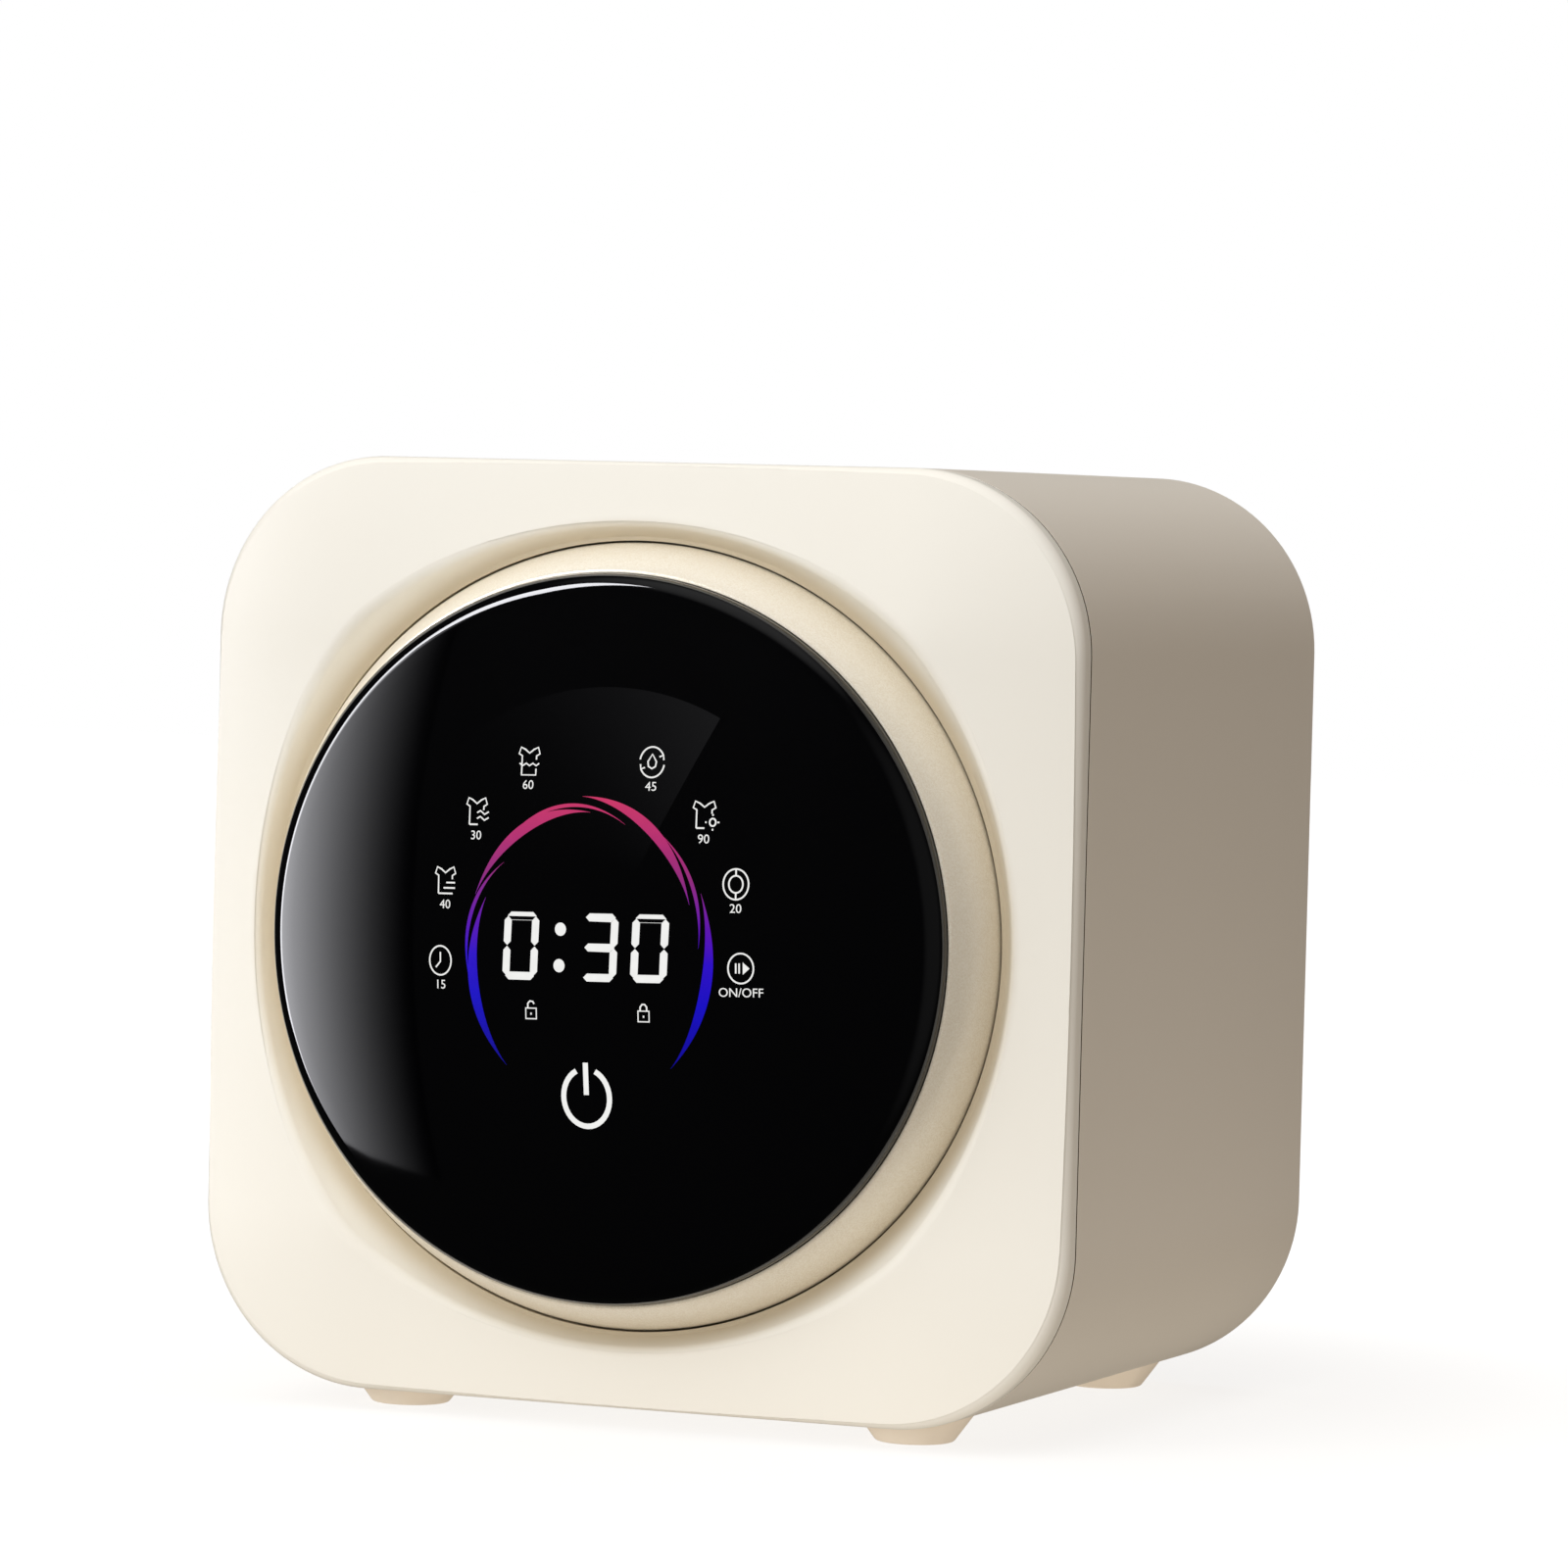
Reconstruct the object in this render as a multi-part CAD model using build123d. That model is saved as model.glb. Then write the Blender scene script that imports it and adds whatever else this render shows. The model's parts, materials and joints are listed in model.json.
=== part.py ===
from build123d import *
import math
import os

# All sizes are in millimetres. X points to the right of someone who faces the
# machine, Y to its back and Z up. While the pieces are made, the Y axis is the
# axis of the door and drum, and depths count back from the cabinet's front edge.

# How far a cut runs past the face that it opens
past = 1.0

# The cross recess in a screw's head, as shares of the head's radius and height
recess_width = 0.14
recess_reach = 0.55
recess_depth = 0.5

# Cabinet
body_width = 360.0
body_height = 362.0
body_depth = 276.0
corner_radius = 70.0
shell_wall = 3.0
seam_depth = 13.0
seam_gap = 0.4
seam_cut = 1.4
panel_edge_depth = 3.5
panel_rise = 12.5
panel_bulge = 1.45
panel_edge_round = 4.0
crest_round = 4.0
lip_root = 3.0
lip_length = 6.0
lip_wall = 2.0
lip_gap = 0.3
rear_edge_round = 2.5
cover_recess = 8.0
cover_wall = 2.5
cover_gap = 0.4
cover_ledge_width = 13.0
cover_dish_radius = 82.0
cover_dish_rise = 3.0
cover_screw_radius = 1.7
cover_screw_head = 3.4
cover_screw_head_height = 2.4
cover_screw_length = 9.0

# Vents in the rear cover
vent_count = 6
vent_pitch = 8.0
vent_length = 26.0
vent_width = 3.5
vent_x = -84.0
vent_z = 128.0
vent_motor_shift = 12.0

# Feet
foot_height = 8.0
foot_rise = 3.0
foot_top_radius = 23.0
foot_sole_radius = 15.2
foot_edge_round = 1.0
foot_inset_x = 73.5
foot_front_depth = 41.0
foot_rear_depth = 250.0
foot_screw_radius = 2.5
foot_screw_head_radius = 4.5
foot_screw_head_height = 3.0
foot_screw_length = 14.0
foot_screw_recess = 2.0

# Door ring and glass
door_radius = 150.2
door_gap = 0.8
door_seam_depth = 4.0
ring_height = 23.8
ring_skirt = 1.8
ring_wall = 2.8
ring_bulge = 0.9
ring_land = 0.5
ring_lip = 1.6
ring_ledge = 14.6
glass_radius = 138.6
glass_wall = 4.0
glass_side = 3.0
glass_skirt = 7.8
glass_shoulder_round = 7.4
glass_dome_radius = 550.0
fit_gap = 0.1

# Behind the glass
carrier_radius = 128.0
carrier_wall = 3.0
carrier_depth = -24.0
board_radius = 76.0
board_wall = 1.6
board_post_height = 6.0
board_post_ring = 66.0
board_post_count = 4
board_post_radius = 3.0
display_width = 78.0
display_height = 34.0
display_thickness = 5.5
display_round = 1.5

# Door back
frame_radius = 145.5
frame_flange = 149.4
frame_flange_wall = 1.6
frame_depth = 18.0
frame_wall = 2.5
bowl_mouth_radius = 98.0
bowl_end_radius = 84.0
bowl_end_depth = 52.0
bowl_wall = 3.0
bowl_round = 10.0
bowl_flange = 6.0
bowl_flange_wall = 2.5
door_screw_ring = 135.0
door_screw_count = 6
door_screw_radius = 1.6
door_screw_head = 3.0
door_screw_head_height = 1.6
door_screw_length = 20.0
door_boss_wall = 2.0

# Opening in the front panel
seat_depth = 22.0
seat_wall = 3.0
seat_radius = 120.0

# Hinge, on the left
hinge_x = -168.0
hinge_depth = 8.5
hinge_pin_radius = 1.8
hinge_pin_gap = 0.08
knuckle_radius = 3.4
arm_half_height = 16.0
arm_wall = 2.5
arm_side = 5.0
arm_reach = 21.3
arm_back = 22.0
arm_pad_end = 40.0
slot_gap = 1.0
swing_gap = 2.0
ear_wall = 2.0
ear_gap = 1.3
ear_margin = 3.6
ear_nose = 3.0
tab_reach = 16.0
tab_wall = 2.5
tab_inner = 20.0
tab_outer = 40.0
flush_head_depth = 1.2
flush_slot_width = 0.8
pin_end = 1.0

# Latch, on the right
strike_x = 134.0
strike_wall = 3.0
strike_half_height = 7.0
strike_end_depth = 44.0
strike_foot = 6.0
strike_foot_wall = 2.0
strike_window = 8.4
strike_slot_gap = 2.5
bolt_depth = 36.5
lock_gap = 3.2
lock_width = 24.0
lock_length = 33.0
lock_half_height = 24.0
lock_round = 4.0
bolt_radius = 3.0
bolt_length = 20.0
bolt_gap = 0.08
bolt_tip_gap = 0.3
bolt_end_gap = 1.0
bolt_chamfer = 0.6

# Gasket
gasket_wall = 2.5
gasket_bead = 6.0
gasket_lip = 4.5
gasket_front_gap = 0.5
gasket_web_depth = 37.0

# Tub
tub_radius = 127.0
tub_wall = 3.0
tub_front_depth = 50.0
tub_joint_depth = 110.0
tub_back_depth = 206.0
tub_back_wall = 4.0
tub_neck_radius = 100.0
tub_neck_length = 10.0
tub_flange_radius = 137.0
tub_flange_wall = 5.0
tub_screw_ring = 132.5
tub_screw_count = 12
tub_screw_radius = 2.0
tub_screw_head = 3.6
tub_screw_head_height = 2.6
tub_screw_tail = 2.0
tub_rib_count = 8
tub_rib_height = 6.0
tub_rib_wall = 3.0
hub_radius = 27.0
mount_height = 62.0
mount_half_size = 10.0
mount_front = 125.0
mount_rear = 150.0
mount_pad_x = 152.0
mount_bush_radius = 11.0

# Sump and heater
sump_half_width = 30.0
sump_front = 128.0
sump_rear = 184.0
sump_floor = 152.0
sump_nozzle_depth = 150.0
sump_nozzle_height = 140.0
sump_nozzle_radius = 9.0
sump_nozzle_wall = 2.0
sump_nozzle_length = 16.0
heater_rod_radius = 3.0
heater_half_width = 12.0
heater_height = 138.0
heater_front = 138.0
heater_flange_wall = 4.0
heater_flange_half_height = 7.0
heater_flange_margin = 10.0
heater_tab_length = 9.0
heater_tab_half_height = 3.0
heater_tab_half_wall = 0.4

# Drum
drum_radius = 115.2
drum_wall = 1.2
drum_front_depth = 60.0
drum_back_depth = 190.0
drum_mouth_radius = 92.0
drum_curl = 2.4
drum_hole_radius = 2.0
drum_holes_round = 28
drum_hole_rows = 7
back_hole_radius = 2.5
back_hole_rings = (60.0, 80.0, 100.0)
back_hole_pitch = 20.0
lifter_count = 3
lifter_start = 90.0
lifter_height = 24.0
lifter_base = 44.0
lifter_top = 16.0
lifter_round = 5.0
lifter_margin = 6.0
lifter_rear_margin = 4.0
lifter_wall = 2.0
spider_arm_count = 3
spider_start = 30.0
spider_hub_radius = 26.0
spider_hub_length = 12.5
spider_arm_root = 30.0
spider_arm_tip = 18.0
spider_arm_wall = 9.0
spider_reach = 108.0

# Shaft and bearings
shaft_radius = 8.5
shaft_gap = 0.04
shaft_chamfer = 1.0
shaft_rear = 257.0
bearing_radius = 20.0
bearing_width = 12.0
seal_width = 6.0
bearing_shoulder = 2.5
bearing_spacing = 4.0

# Belt drive
pulley_groove_radius = 62.0
pulley_flange = 3.0
pulley_width = 10.0
pulley_flange_wall = 1.2
pulley_rim_wall = 5.0
pulley_hub_radius = 19.0
pulley_web_wall = 3.0
pulley_hole_radius = 11.0
pulley_hole_count = 6
pulley_front = 244.0
motor_pulley_radius = 9.3
belt_wall = 1.8
belt_gap = 0.3
belt_side_gap = 0.4

# Motor
motor_x = -118.0
motor_z = -118.0
motor_radius = 34.0
motor_front = 140.0
motor_rear = 218.0
motor_cap_wall = 3.0
motor_coil_gap = 8.0
motor_core_radius = 22.0
motor_core_gap = 0.5
motor_shaft_radius = 4.0
motor_shaft_gap = 0.05
motor_shaft_end = 2.0
motor_plate_wall = 3.0
motor_plate_radius = 30.0
motor_plate_hole = 13.0
motor_lug_ring = 88.0
motor_lug_radius = 8.0
motor_lug_spread = 18.0
motor_screw_ring = 25.0
motor_screw_length = 9.0

# Air drying unit
fan_x = -100.0
fan_depth = 214.0
fan_low = 138.0
fan_high = 162.0
fan_housing_radius = 33.0
fan_wall = 1.8
fan_radius = 27.0
fan_inner_radius = 20.0
fan_blades = 16
fan_gap = 1.5
fan_plate = 1.6
fan_blade_wall = 1.2
fan_blade_lean = 25.0
fan_inlet_radius = 18.0
fan_hub_radius = 6.0
fan_motor_radius = 16.0
fan_motor_height = 24.0
fan_shaft_radius = 2.0
fan_shaft_length = 12.0
fan_shaft_gap = 0.05
fan_post_radius = 4.0
fan_post_ring = 28.0
duct_width = 26.0
duct_rear = 176.0
duct_front = 66.0
duct_drop_length = 28.0
duct_overlap = 4.0
duct_gap = 0.4
air_heater_front = 140.0
air_heater_length = 26.0
air_heater_slots = 6
air_heater_frame = 2.0
air_heater_fin = 1.0

# Drain
pump_left = 78.0
pump_chamber_radius = 24.0
pump_chamber_width = 22.0
pump_wall = 2.5
pump_motor_radius = 18.0
pump_motor_length = 48.0
pump_motor_chamfer = 2.0
pump_impeller_radius = 18.0
pump_impeller_plate = 2.0
pump_impeller_hub = 5.0
pump_blades = 5
pump_blade_wall = 2.0
pump_blade_width = 9.0
pump_shaft_radius = 2.0
pump_shaft_gap = 0.05
pump_shaft_length = 14.0
pump_outlet_offset = 14.0
pump_outlet_radius = 8.0
pump_outlet_end = 192.0
pump_stand_half_width = 5.0
pump_stand_half_length = 14.0
hose_wall = 2.5
hose_overlap = 8.0
hose_rib = 1.4
hose_rib_pitch = 5.0
hose_rib_width = 2.0
spigot_radius = 9.5
spigot_length = 21.0
spigot_chamfer = 1.0
spigot_shoulder = 1.2
spigot_flange = 15.0
spigot_flange_wall = 2.5
spigot_tail = 16.0

# Fill
valve_x = 100.0
valve_z = 128.0
thread_radius = 13.2
thread_length = 13.0
thread_bore = 9.0
thread_chamfer = 1.0
thread_shoulder = 1.2
valve_half_size = 15.0
valve_length = 24.0
valve_bracket = 20.0
valve_bracket_wall = 2.0
coil_radius = 12.0
coil_height = 20.0
fill_nozzle_radius = 6.0
fill_nozzle_bore = 4.5
fill_nozzle_length = 14.0
fill_depth = 80.0
fill_hose_bend = 14.0

# Electrics
tray_left = 6.0
tray_right = 80.0
tray_front = 130.0
tray_rear = 228.0
tray_low = 146.0
tray_wall = 2.0
tray_side = 14.0
tray_post = 4.0
circuit_rise = 4.0
circuit_wall = 1.6
circuit_margin = 3.0
relay_count = 3
relay_pitch = 20.0
relay_inset = 12.0
relay_width = 16.0
relay_length = 15.0
relay_height = 10.0
terminal_inset = 8.0
terminal_width = 10.0
terminal_length = 12.0
terminal_height = 7.0
capacitor_inset = 20.0
capacitor_radius = 7.0
capacitor_height = 13.0
transformer_left = 32.0
transformer_front = 24.0
transformer_width = 20.0
transformer_length = 24.0
transformer_height = 12.0
gland_x = 24.0
gland_z = 138.0
gland_radius = 8.0
gland_bore = 3.75
gland_flange = 11.0
gland_flange_wall = 3.0
gland_nut_wall = 4.0
gland_tail = 14.0
gland_nose = 14.0
gland_nose_radius = 6.0

# Values that follow from the ones above
half_width = body_width / 2
half_height = body_height / 2
opening_radius = door_radius + door_gap
rim_depth = door_seam_depth - ring_height
ledge_depth = rim_depth + glass_skirt
skirt_depth = door_seam_depth + ring_skirt
seat_back = seat_depth + seat_wall
cover_rear = body_depth - cover_recess
cover_front = cover_rear - cover_wall
ledge_front = cover_front - shell_wall
board_back = carrier_depth - board_post_height
board_front = board_back - board_wall
tub_inner = tub_radius - tub_wall
tub_back_outer = tub_back_depth + tub_back_wall
flange_front = tub_joint_depth - tub_flange_wall
flange_rear = tub_joint_depth + tub_flange_wall
drum_inner = drum_radius - drum_wall
spider_front = drum_back_depth + drum_wall
bearing_end = tub_back_depth + seal_width + bearing_width
hub_rear = bearing_end + bearing_spacing + bearing_width
shaft_bore = shaft_radius + shaft_gap
pulley_rear = pulley_front + pulley_width
plate_rear = motor_rear + motor_plate_wall
ear_inner = arm_half_height + ear_gap
ear_outer = ear_inner + ear_wall
lock_left = strike_x + strike_wall + lock_gap
duct_left = fan_x + fan_housing_radius - duct_width
duct_right = duct_left + duct_width
duct_low = math.sqrt(tub_radius**2 - duct_right**2) + duct_gap
duct_stub_low = math.sqrt(tub_inner**2 - duct_left**2) - tub_wall
duct_drop_rear = duct_front + duct_drop_length
pump_right = pump_left + pump_chamber_width
pump_outlet_x = (pump_left + pump_right) / 2
pump_outlet_z = pump_outlet_offset - sump_nozzle_height
shoulder_ring = glass_radius - glass_shoulder_round
shoulder_depth = rim_depth - glass_side
shoulder_lean = math.asin(shoulder_ring / (glass_dome_radius - glass_shoulder_round))
dome_centre = shoulder_depth + (glass_dome_radius - glass_shoulder_round) * math.cos(shoulder_lean)
frontmost = dome_centre - glass_dome_radius
rearmost = cover_rear + max(spigot_length, thread_length, gland_nose)
origin_shift = (0, -(frontmost + rearmost) / 2, half_height + foot_height)

# Small shape helpers


def at_depth(depth):
    """The upright plane at a depth, with X to the right and Z up."""
    return Plane.XZ.offset(-depth)


def slab(outline, front, back):
    """An outline in X and Z, filled from one depth back to another."""
    return extrude(at_depth(front) * outline, amount=front - back)


def rod(radius, front, back, x=0.0, z=0.0):
    """A round bar along Y."""
    return slab(Pos(x, z) * Circle(radius), front, back)


def pipe(outer, inner, front, back, x=0.0, z=0.0):
    """A round tube along Y."""
    return slab(Pos(x, z) * (Circle(outer) - Circle(inner)), front, back)


def cross_rod(radius, left, right, depth, z):
    """A round bar along X."""
    return extrude(Plane.YZ.offset(left) * Pos(depth, z) * Circle(radius), amount=right - left)


def post(radius, low, high, x, depth):
    """A round bar along Z."""
    return extrude(Plane.XY.offset(low) * Pos(x, depth) * Circle(radius), amount=high - low)


def brick(xs, ys, zs):
    """A box given by its two limits along each axis."""
    size = [high - low for low, high in (xs, ys, zs)]
    centre = [(high + low) / 2 for low, high in (xs, ys, zs)]
    return Pos(*centre) * Box(*size)


def turned(*points):
    """A ring turned about the Y axis from points of radius and depth."""
    return revolve(make_face(Polyline(*points, close=True)), Axis.Y)


def plate(inset, front, back):
    """The cabinet's rounded outline, drawn in by an inset, between two depths."""
    outline = RectangleRounded(body_width - 2 * inset, body_height - 2 * inset, corner_radius - inset)
    return slab(outline, front, back)


def frame_plate(outer, inner, front, back):
    """A frame between two insets of the cabinet's outline."""
    return plate(outer, front, back) - plate(inner, front - past, back + past)


def round_about(degrees):
    """A turn about the Y axis, from X towards Z."""
    return Rot(0, -degrees, 0)


def ring_places(radius, count, start=0.0):
    """Places for copies on a circle about the Y axis."""
    return [round_about(start + 360 * k / count) * Pos(radius, 0, 0) for k in range(count)]


def radial_bar(radius, start, end, degrees, depth):
    """A round bar that points away from the Y axis."""
    return round_about(degrees) * cross_rod(radius, start, end, depth, 0)


def corner_of(section, x, y):
    """The section's corner nearest to a point."""
    return section.vertices().sort_by_distance(Vector(x, y, 0))[0]


def pan_screw(shank, head, head_height, length):
    """A cross-recessed pan-head screw along +Y, with the head's underside at zero depth."""
    screw = rod(head, -head_height, 0) + rod(shank, 0, length)
    blade = head * recess_width
    arm = head * recess_reach
    floor = -head_height * recess_depth
    cross = brick((-arm, arm), (-head_height, floor), (-blade, blade))
    return screw - cross - Rot(0, 90, 0) * cross


def turned_back(screw):
    """A screw turned round, so that it is driven from behind."""
    return Rot(0, 0, 180) * screw


# Cabinet


def pillow_section(skin, back):
    """Half section of the front panel, from a corner's centre line to its side wall."""
    reach = corner_radius - skin
    edge = (reach, panel_edge_depth + skin)
    crown = (0, panel_edge_depth - panel_rise + skin)
    middle = (reach / 2, (edge[1] + crown[1]) / 2 - panel_bulge)
    outline = ThreePointArc(crown, middle, edge) + Polyline(edge, (reach, back), (0, back), crown)
    section = make_face(outline)
    return fillet(corner_of(section, *edge), panel_edge_round - skin)


def pillow(skin, back):
    """The front panel's outer form, drawn in by a skin: turned corners, straight sides and a core."""
    section = pillow_section(skin, back)
    half_x = half_width - corner_radius
    half_z = half_height - corner_radius
    crown = panel_edge_depth - panel_rise + skin
    corner = revolve(section, Axis.Y, revolution_arc=-90)
    form = brick((-half_x, half_x), (crown, back), (-half_z, half_z))
    sides = ((1, 0), (0, 1), (-1, 0), (0, -1))
    corners = ((1, 1), (-1, 1), (-1, -1), (1, -1))
    for k in range(4):
        length = 2 * half_x if k % 2 else 2 * half_z
        side = Pos(0, 0, -length / 2) * extrude(section, amount=length)
        form += Pos(half_x * sides[k][0], 0, half_z * sides[k][1]) * round_about(90 * k) * side
        form += Pos(half_x * corners[k][0], 0, half_z * corners[k][1]) * round_about(90 * k) * corner
    return form


def opening_cut():
    """What the round opening removes from the panel: a bore with a 45 degree flare at the front."""
    flare = panel_rise + door_seam_depth + shell_wall
    mouth = (opening_radius + flare, door_seam_depth - flare)
    throat = (opening_radius, door_seam_depth)
    cut = turned((0, mouth[1]), mouth, throat, (opening_radius, seat_depth), (0, seat_depth))
    return cut + rod(seat_radius, seat_depth - past, seat_back + past)


def opening_block():
    """The wall behind the flare and round the bore, with the seat at its back, before the cut."""
    flare = panel_rise + door_seam_depth + shell_wall
    outer = opening_radius + shell_wall
    bend = door_seam_depth + shell_wall * (math.sqrt(2) - 1)
    mouth = (opening_radius + flare + shell_wall * math.sqrt(2), door_seam_depth - flare)
    block = turned((0, mouth[1]), mouth, (outer, bend), (outer, seat_back), (0, seat_back))
    return block & pillow(0, seat_back)


def on_crest(edge):
    """Whether an edge is where the opening's flare meets the panel's face."""
    for share in (0.0, 0.25, 0.5, 0.75, 1.0):
        at = edge.position_at(share)
        outward = math.hypot(at.X, at.Z) - opening_radius
        if outward < 1 or abs(outward + at.Y - door_seam_depth) > 0.01:
            return False
    return True


def hinge_slot():
    """The slot in the opening's wall and seat that the hinge arm swings through."""
    swing = math.sqrt(arm_reach**2 + arm_back**2 - (seat_depth - hinge_depth) ** 2) + slot_gap
    half = arm_half_height + slot_gap
    left = -opening_radius - shell_wall - slot_gap
    return brick((left, hinge_x + swing), (hinge_depth - swing_gap, seat_back + past), (-half, half))


def strike_slot():
    """The slot in the seat that the door's strike enters."""
    half = strike_half_height + strike_slot_gap
    left = strike_x - strike_slot_gap
    right = strike_x + strike_wall + strike_slot_gap
    return brick((left, right), (seat_depth - past, seat_back + past), (-half, half))


def bracket_screw_points():
    """Where the hinge bracket is screwed to the seat, as X and Z."""
    x = hinge_x + (tab_inner + tab_outer) / 2
    z = ear_outer + tab_reach / 2
    return [(x, -z), (x, z)]


def front_panel():
    """The moulded front: a pillow-shaped shell with the opening, its seat and a locating lip."""
    panel = pillow(0, seam_depth) - pillow(shell_wall, seam_depth + past)
    panel += opening_block()
    panel -= opening_cut()
    panel = fillet(panel.edges().filter_by(on_crest), crest_round)
    lip_front = seam_depth - lip_root
    lip_outer = shell_wall + lip_gap
    panel += frame_plate(shell_wall / 2, lip_outer + lip_wall, lip_front, seam_depth)
    panel += frame_plate(lip_outer, lip_outer + lip_wall, lip_front, seam_depth + lip_length)
    for x, z in bracket_screw_points():
        panel -= rod(cover_screw_radius, seat_depth - past, seat_back + past, x, z)
    return panel - hinge_slot() - strike_slot()


def cover_screw_points():
    """Where the rear cover's screws stand, as X and Z."""
    middle = shell_wall + cover_ledge_width / 2
    reach = (corner_radius - middle) * math.sqrt(0.5)
    corner_x = half_width - corner_radius + reach
    corner_z = half_height - corner_radius + reach
    points = [(side * (half_width - middle), 0) for side in (-1, 1)]
    points += [(0, side * (half_height - middle)) for side in (-1, 1)]
    return points + [(x * corner_x, z * corner_z) for x in (-1, 1) for z in (-1, 1)]


def foot_points():
    """The feet's places by name, as X and depth."""
    x = half_width - foot_inset_x
    return {
        "foot_front_left": (-x, foot_front_depth),
        "foot_front_right": (x, foot_front_depth),
        "foot_rear_left": (-x, foot_rear_depth),
        "foot_rear_right": (x, foot_rear_depth),
    }


def side_casing():
    """The wrap-round shell of left, right, top and bottom, with a ledge for the rear cover."""
    casing = plate(0, seam_depth, body_depth)
    rear = casing.faces().sort_by(Axis.Y)[-1]
    casing = fillet(rear.edges(), rear_edge_round)
    casing -= plate(shell_wall, seam_depth - past, body_depth + past)
    casing -= frame_plate(-past, seam_cut, seam_depth - past, seam_depth + seam_gap)
    casing += frame_plate(shell_wall / 2, shell_wall + cover_ledge_width, ledge_front, cover_front)
    for x, z in cover_screw_points():
        casing -= rod(cover_screw_radius, ledge_front - past, cover_front + past, x, z)
    for x, depth in foot_points().values():
        casing -= post(foot_screw_radius, -half_height - past, shell_wall + past - half_height, x, depth)
    return casing


def vent_row(x, z):
    """Outlines of a row of upright vent slots about a point."""
    first = x - vent_pitch * (vent_count - 1) / 2
    slot = SlotOverall(vent_length, vent_width, rotation=90)
    return Sketch() + [Pos(first + vent_pitch * k, z) * slot for k in range(vent_count)]


def cover_dish(radius, rear, front):
    """The raised round area of the rear cover, over the drum's pulley."""
    foot_of_slope = radius + cover_dish_rise
    return turned(
        (0, front),
        (foot_of_slope, front),
        (foot_of_slope, rear - cover_dish_rise),
        (radius, rear),
        (0, rear),
    )


def rear_cover():
    """The back plate, dished behind the drum's pulley, with vents and connection holes."""
    cover = plate(shell_wall + cover_gap, cover_front, cover_rear)
    cover += cover_dish(cover_dish_radius, cover_rear + cover_dish_rise, cover_front)
    cover -= cover_dish(cover_dish_radius - cover_wall, cover_front + cover_dish_rise, cover_front - past)
    vents = vent_row(vent_x, vent_z) + vent_row(motor_x + vent_motor_shift, motor_z + vent_motor_shift)
    cover -= slab(vents, cover_front - past, cover_rear + past)
    for x, z in cover_screw_points():
        cover -= rod(cover_screw_radius, cover_front - past, cover_rear + past, x, z)
    connections = (
        (thread_radius + thread_shoulder, valve_x, valve_z),
        (gland_radius, gland_x, gland_z),
        (spigot_radius + spigot_shoulder, pump_outlet_x, pump_outlet_z),
    )
    for radius, x, z in connections:
        cover -= rod(radius + fit_gap, cover_front - past, cover_rear + past, x, z)
    return cover


def rear_cover_screws():
    """Pan-head screws round the rear cover, driven from behind."""
    screw = pan_screw(cover_screw_radius, cover_screw_head, cover_screw_head_height, cover_screw_length)
    return Part() + [Pos(x, cover_rear, z) * turned_back(screw) for x, z in cover_screw_points()]


def foot():
    """A tapered round foot with its screw recess, standing at zero height."""
    standing = (Align.CENTER, Align.CENTER, Align.MIN)
    body = Cone(foot_sole_radius, foot_top_radius, foot_height + foot_rise, align=standing)
    sole = body.faces().sort_by(Axis.Z)[0]
    body = fillet(sole.edges(), foot_edge_round)
    recess = foot_screw_recess + foot_screw_head_height
    body -= post(foot_screw_head_radius + fit_gap, -past, recess, 0, 0)
    return body - post(foot_screw_radius, 0, foot_height + foot_rise + past, 0, 0)


def feet():
    """The four feet by name, each cut to the casing's rounded underside."""
    shape = Pos(0, 0, -half_height - foot_height) * foot()
    casing = plate(0, seam_depth, body_depth)
    return {name: Pos(x, depth, 0) * shape - casing for name, (x, depth) in foot_points().items()}


def foot_screws():
    """The screws that hold the feet, with their heads in the recesses."""
    head = (foot_screw_head_radius, foot_screw_head_height)
    screw = Rot(90, 0, 0) * pan_screw(foot_screw_radius, *head, foot_screw_length)
    under = foot_screw_recess + foot_screw_head_height - half_height - foot_height
    return Part() + [Pos(x, depth, under) * screw for x, depth in foot_points().values()]


# Door


def door_ring():
    """The bright ring: a steep convex band from the joint line up to the glass, with a ledge inside."""
    root = (door_radius, door_seam_depth + ring_land)
    top = (glass_radius + ring_lip, rim_depth + ring_lip / 2)
    middle = ((root[0] + top[0]) / 2 + ring_bulge, (root[1] + top[1]) / 2)
    inner = glass_radius + fit_gap
    ledge_back = ledge_depth + ring_wall
    outline = Line((door_radius, skirt_depth), root) + ThreePointArc(root, middle, top)
    outline += Polyline(
        top,
        (glass_radius + ring_lip / 2, rim_depth),
        (inner, rim_depth + ring_lip / 4),
        (inner, ledge_depth),
        (glass_radius - ring_ledge, ledge_depth),
        (glass_radius - ring_ledge, ledge_back),
        (glass_radius + ring_lip + ring_wall / 2, ledge_back),
        (frame_radius, door_seam_depth - ring_wall),
        (frame_radius, skirt_depth),
        (door_radius, skirt_depth),
    )
    ring = revolve(make_face(outline), Axis.Y)
    for place in door_screw_places():
        ring += place * rod(door_screw_radius + door_boss_wall, ledge_back - ring_wall / 2, skirt_depth)
        ring -= place * rod(door_screw_radius, frame_depth - door_screw_length, skirt_depth + past)
    return ring


def door_screw_places():
    """Places of the screws that join the door's ring and back."""
    return ring_places(door_screw_ring, door_screw_count, 180 / door_screw_count)


def point_at(ring, depth, radius, lean):
    """A point on a circle round a ring's section, leaning outward from straight ahead."""
    return (ring + radius * math.sin(lean), depth - radius * math.cos(lean))


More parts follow.
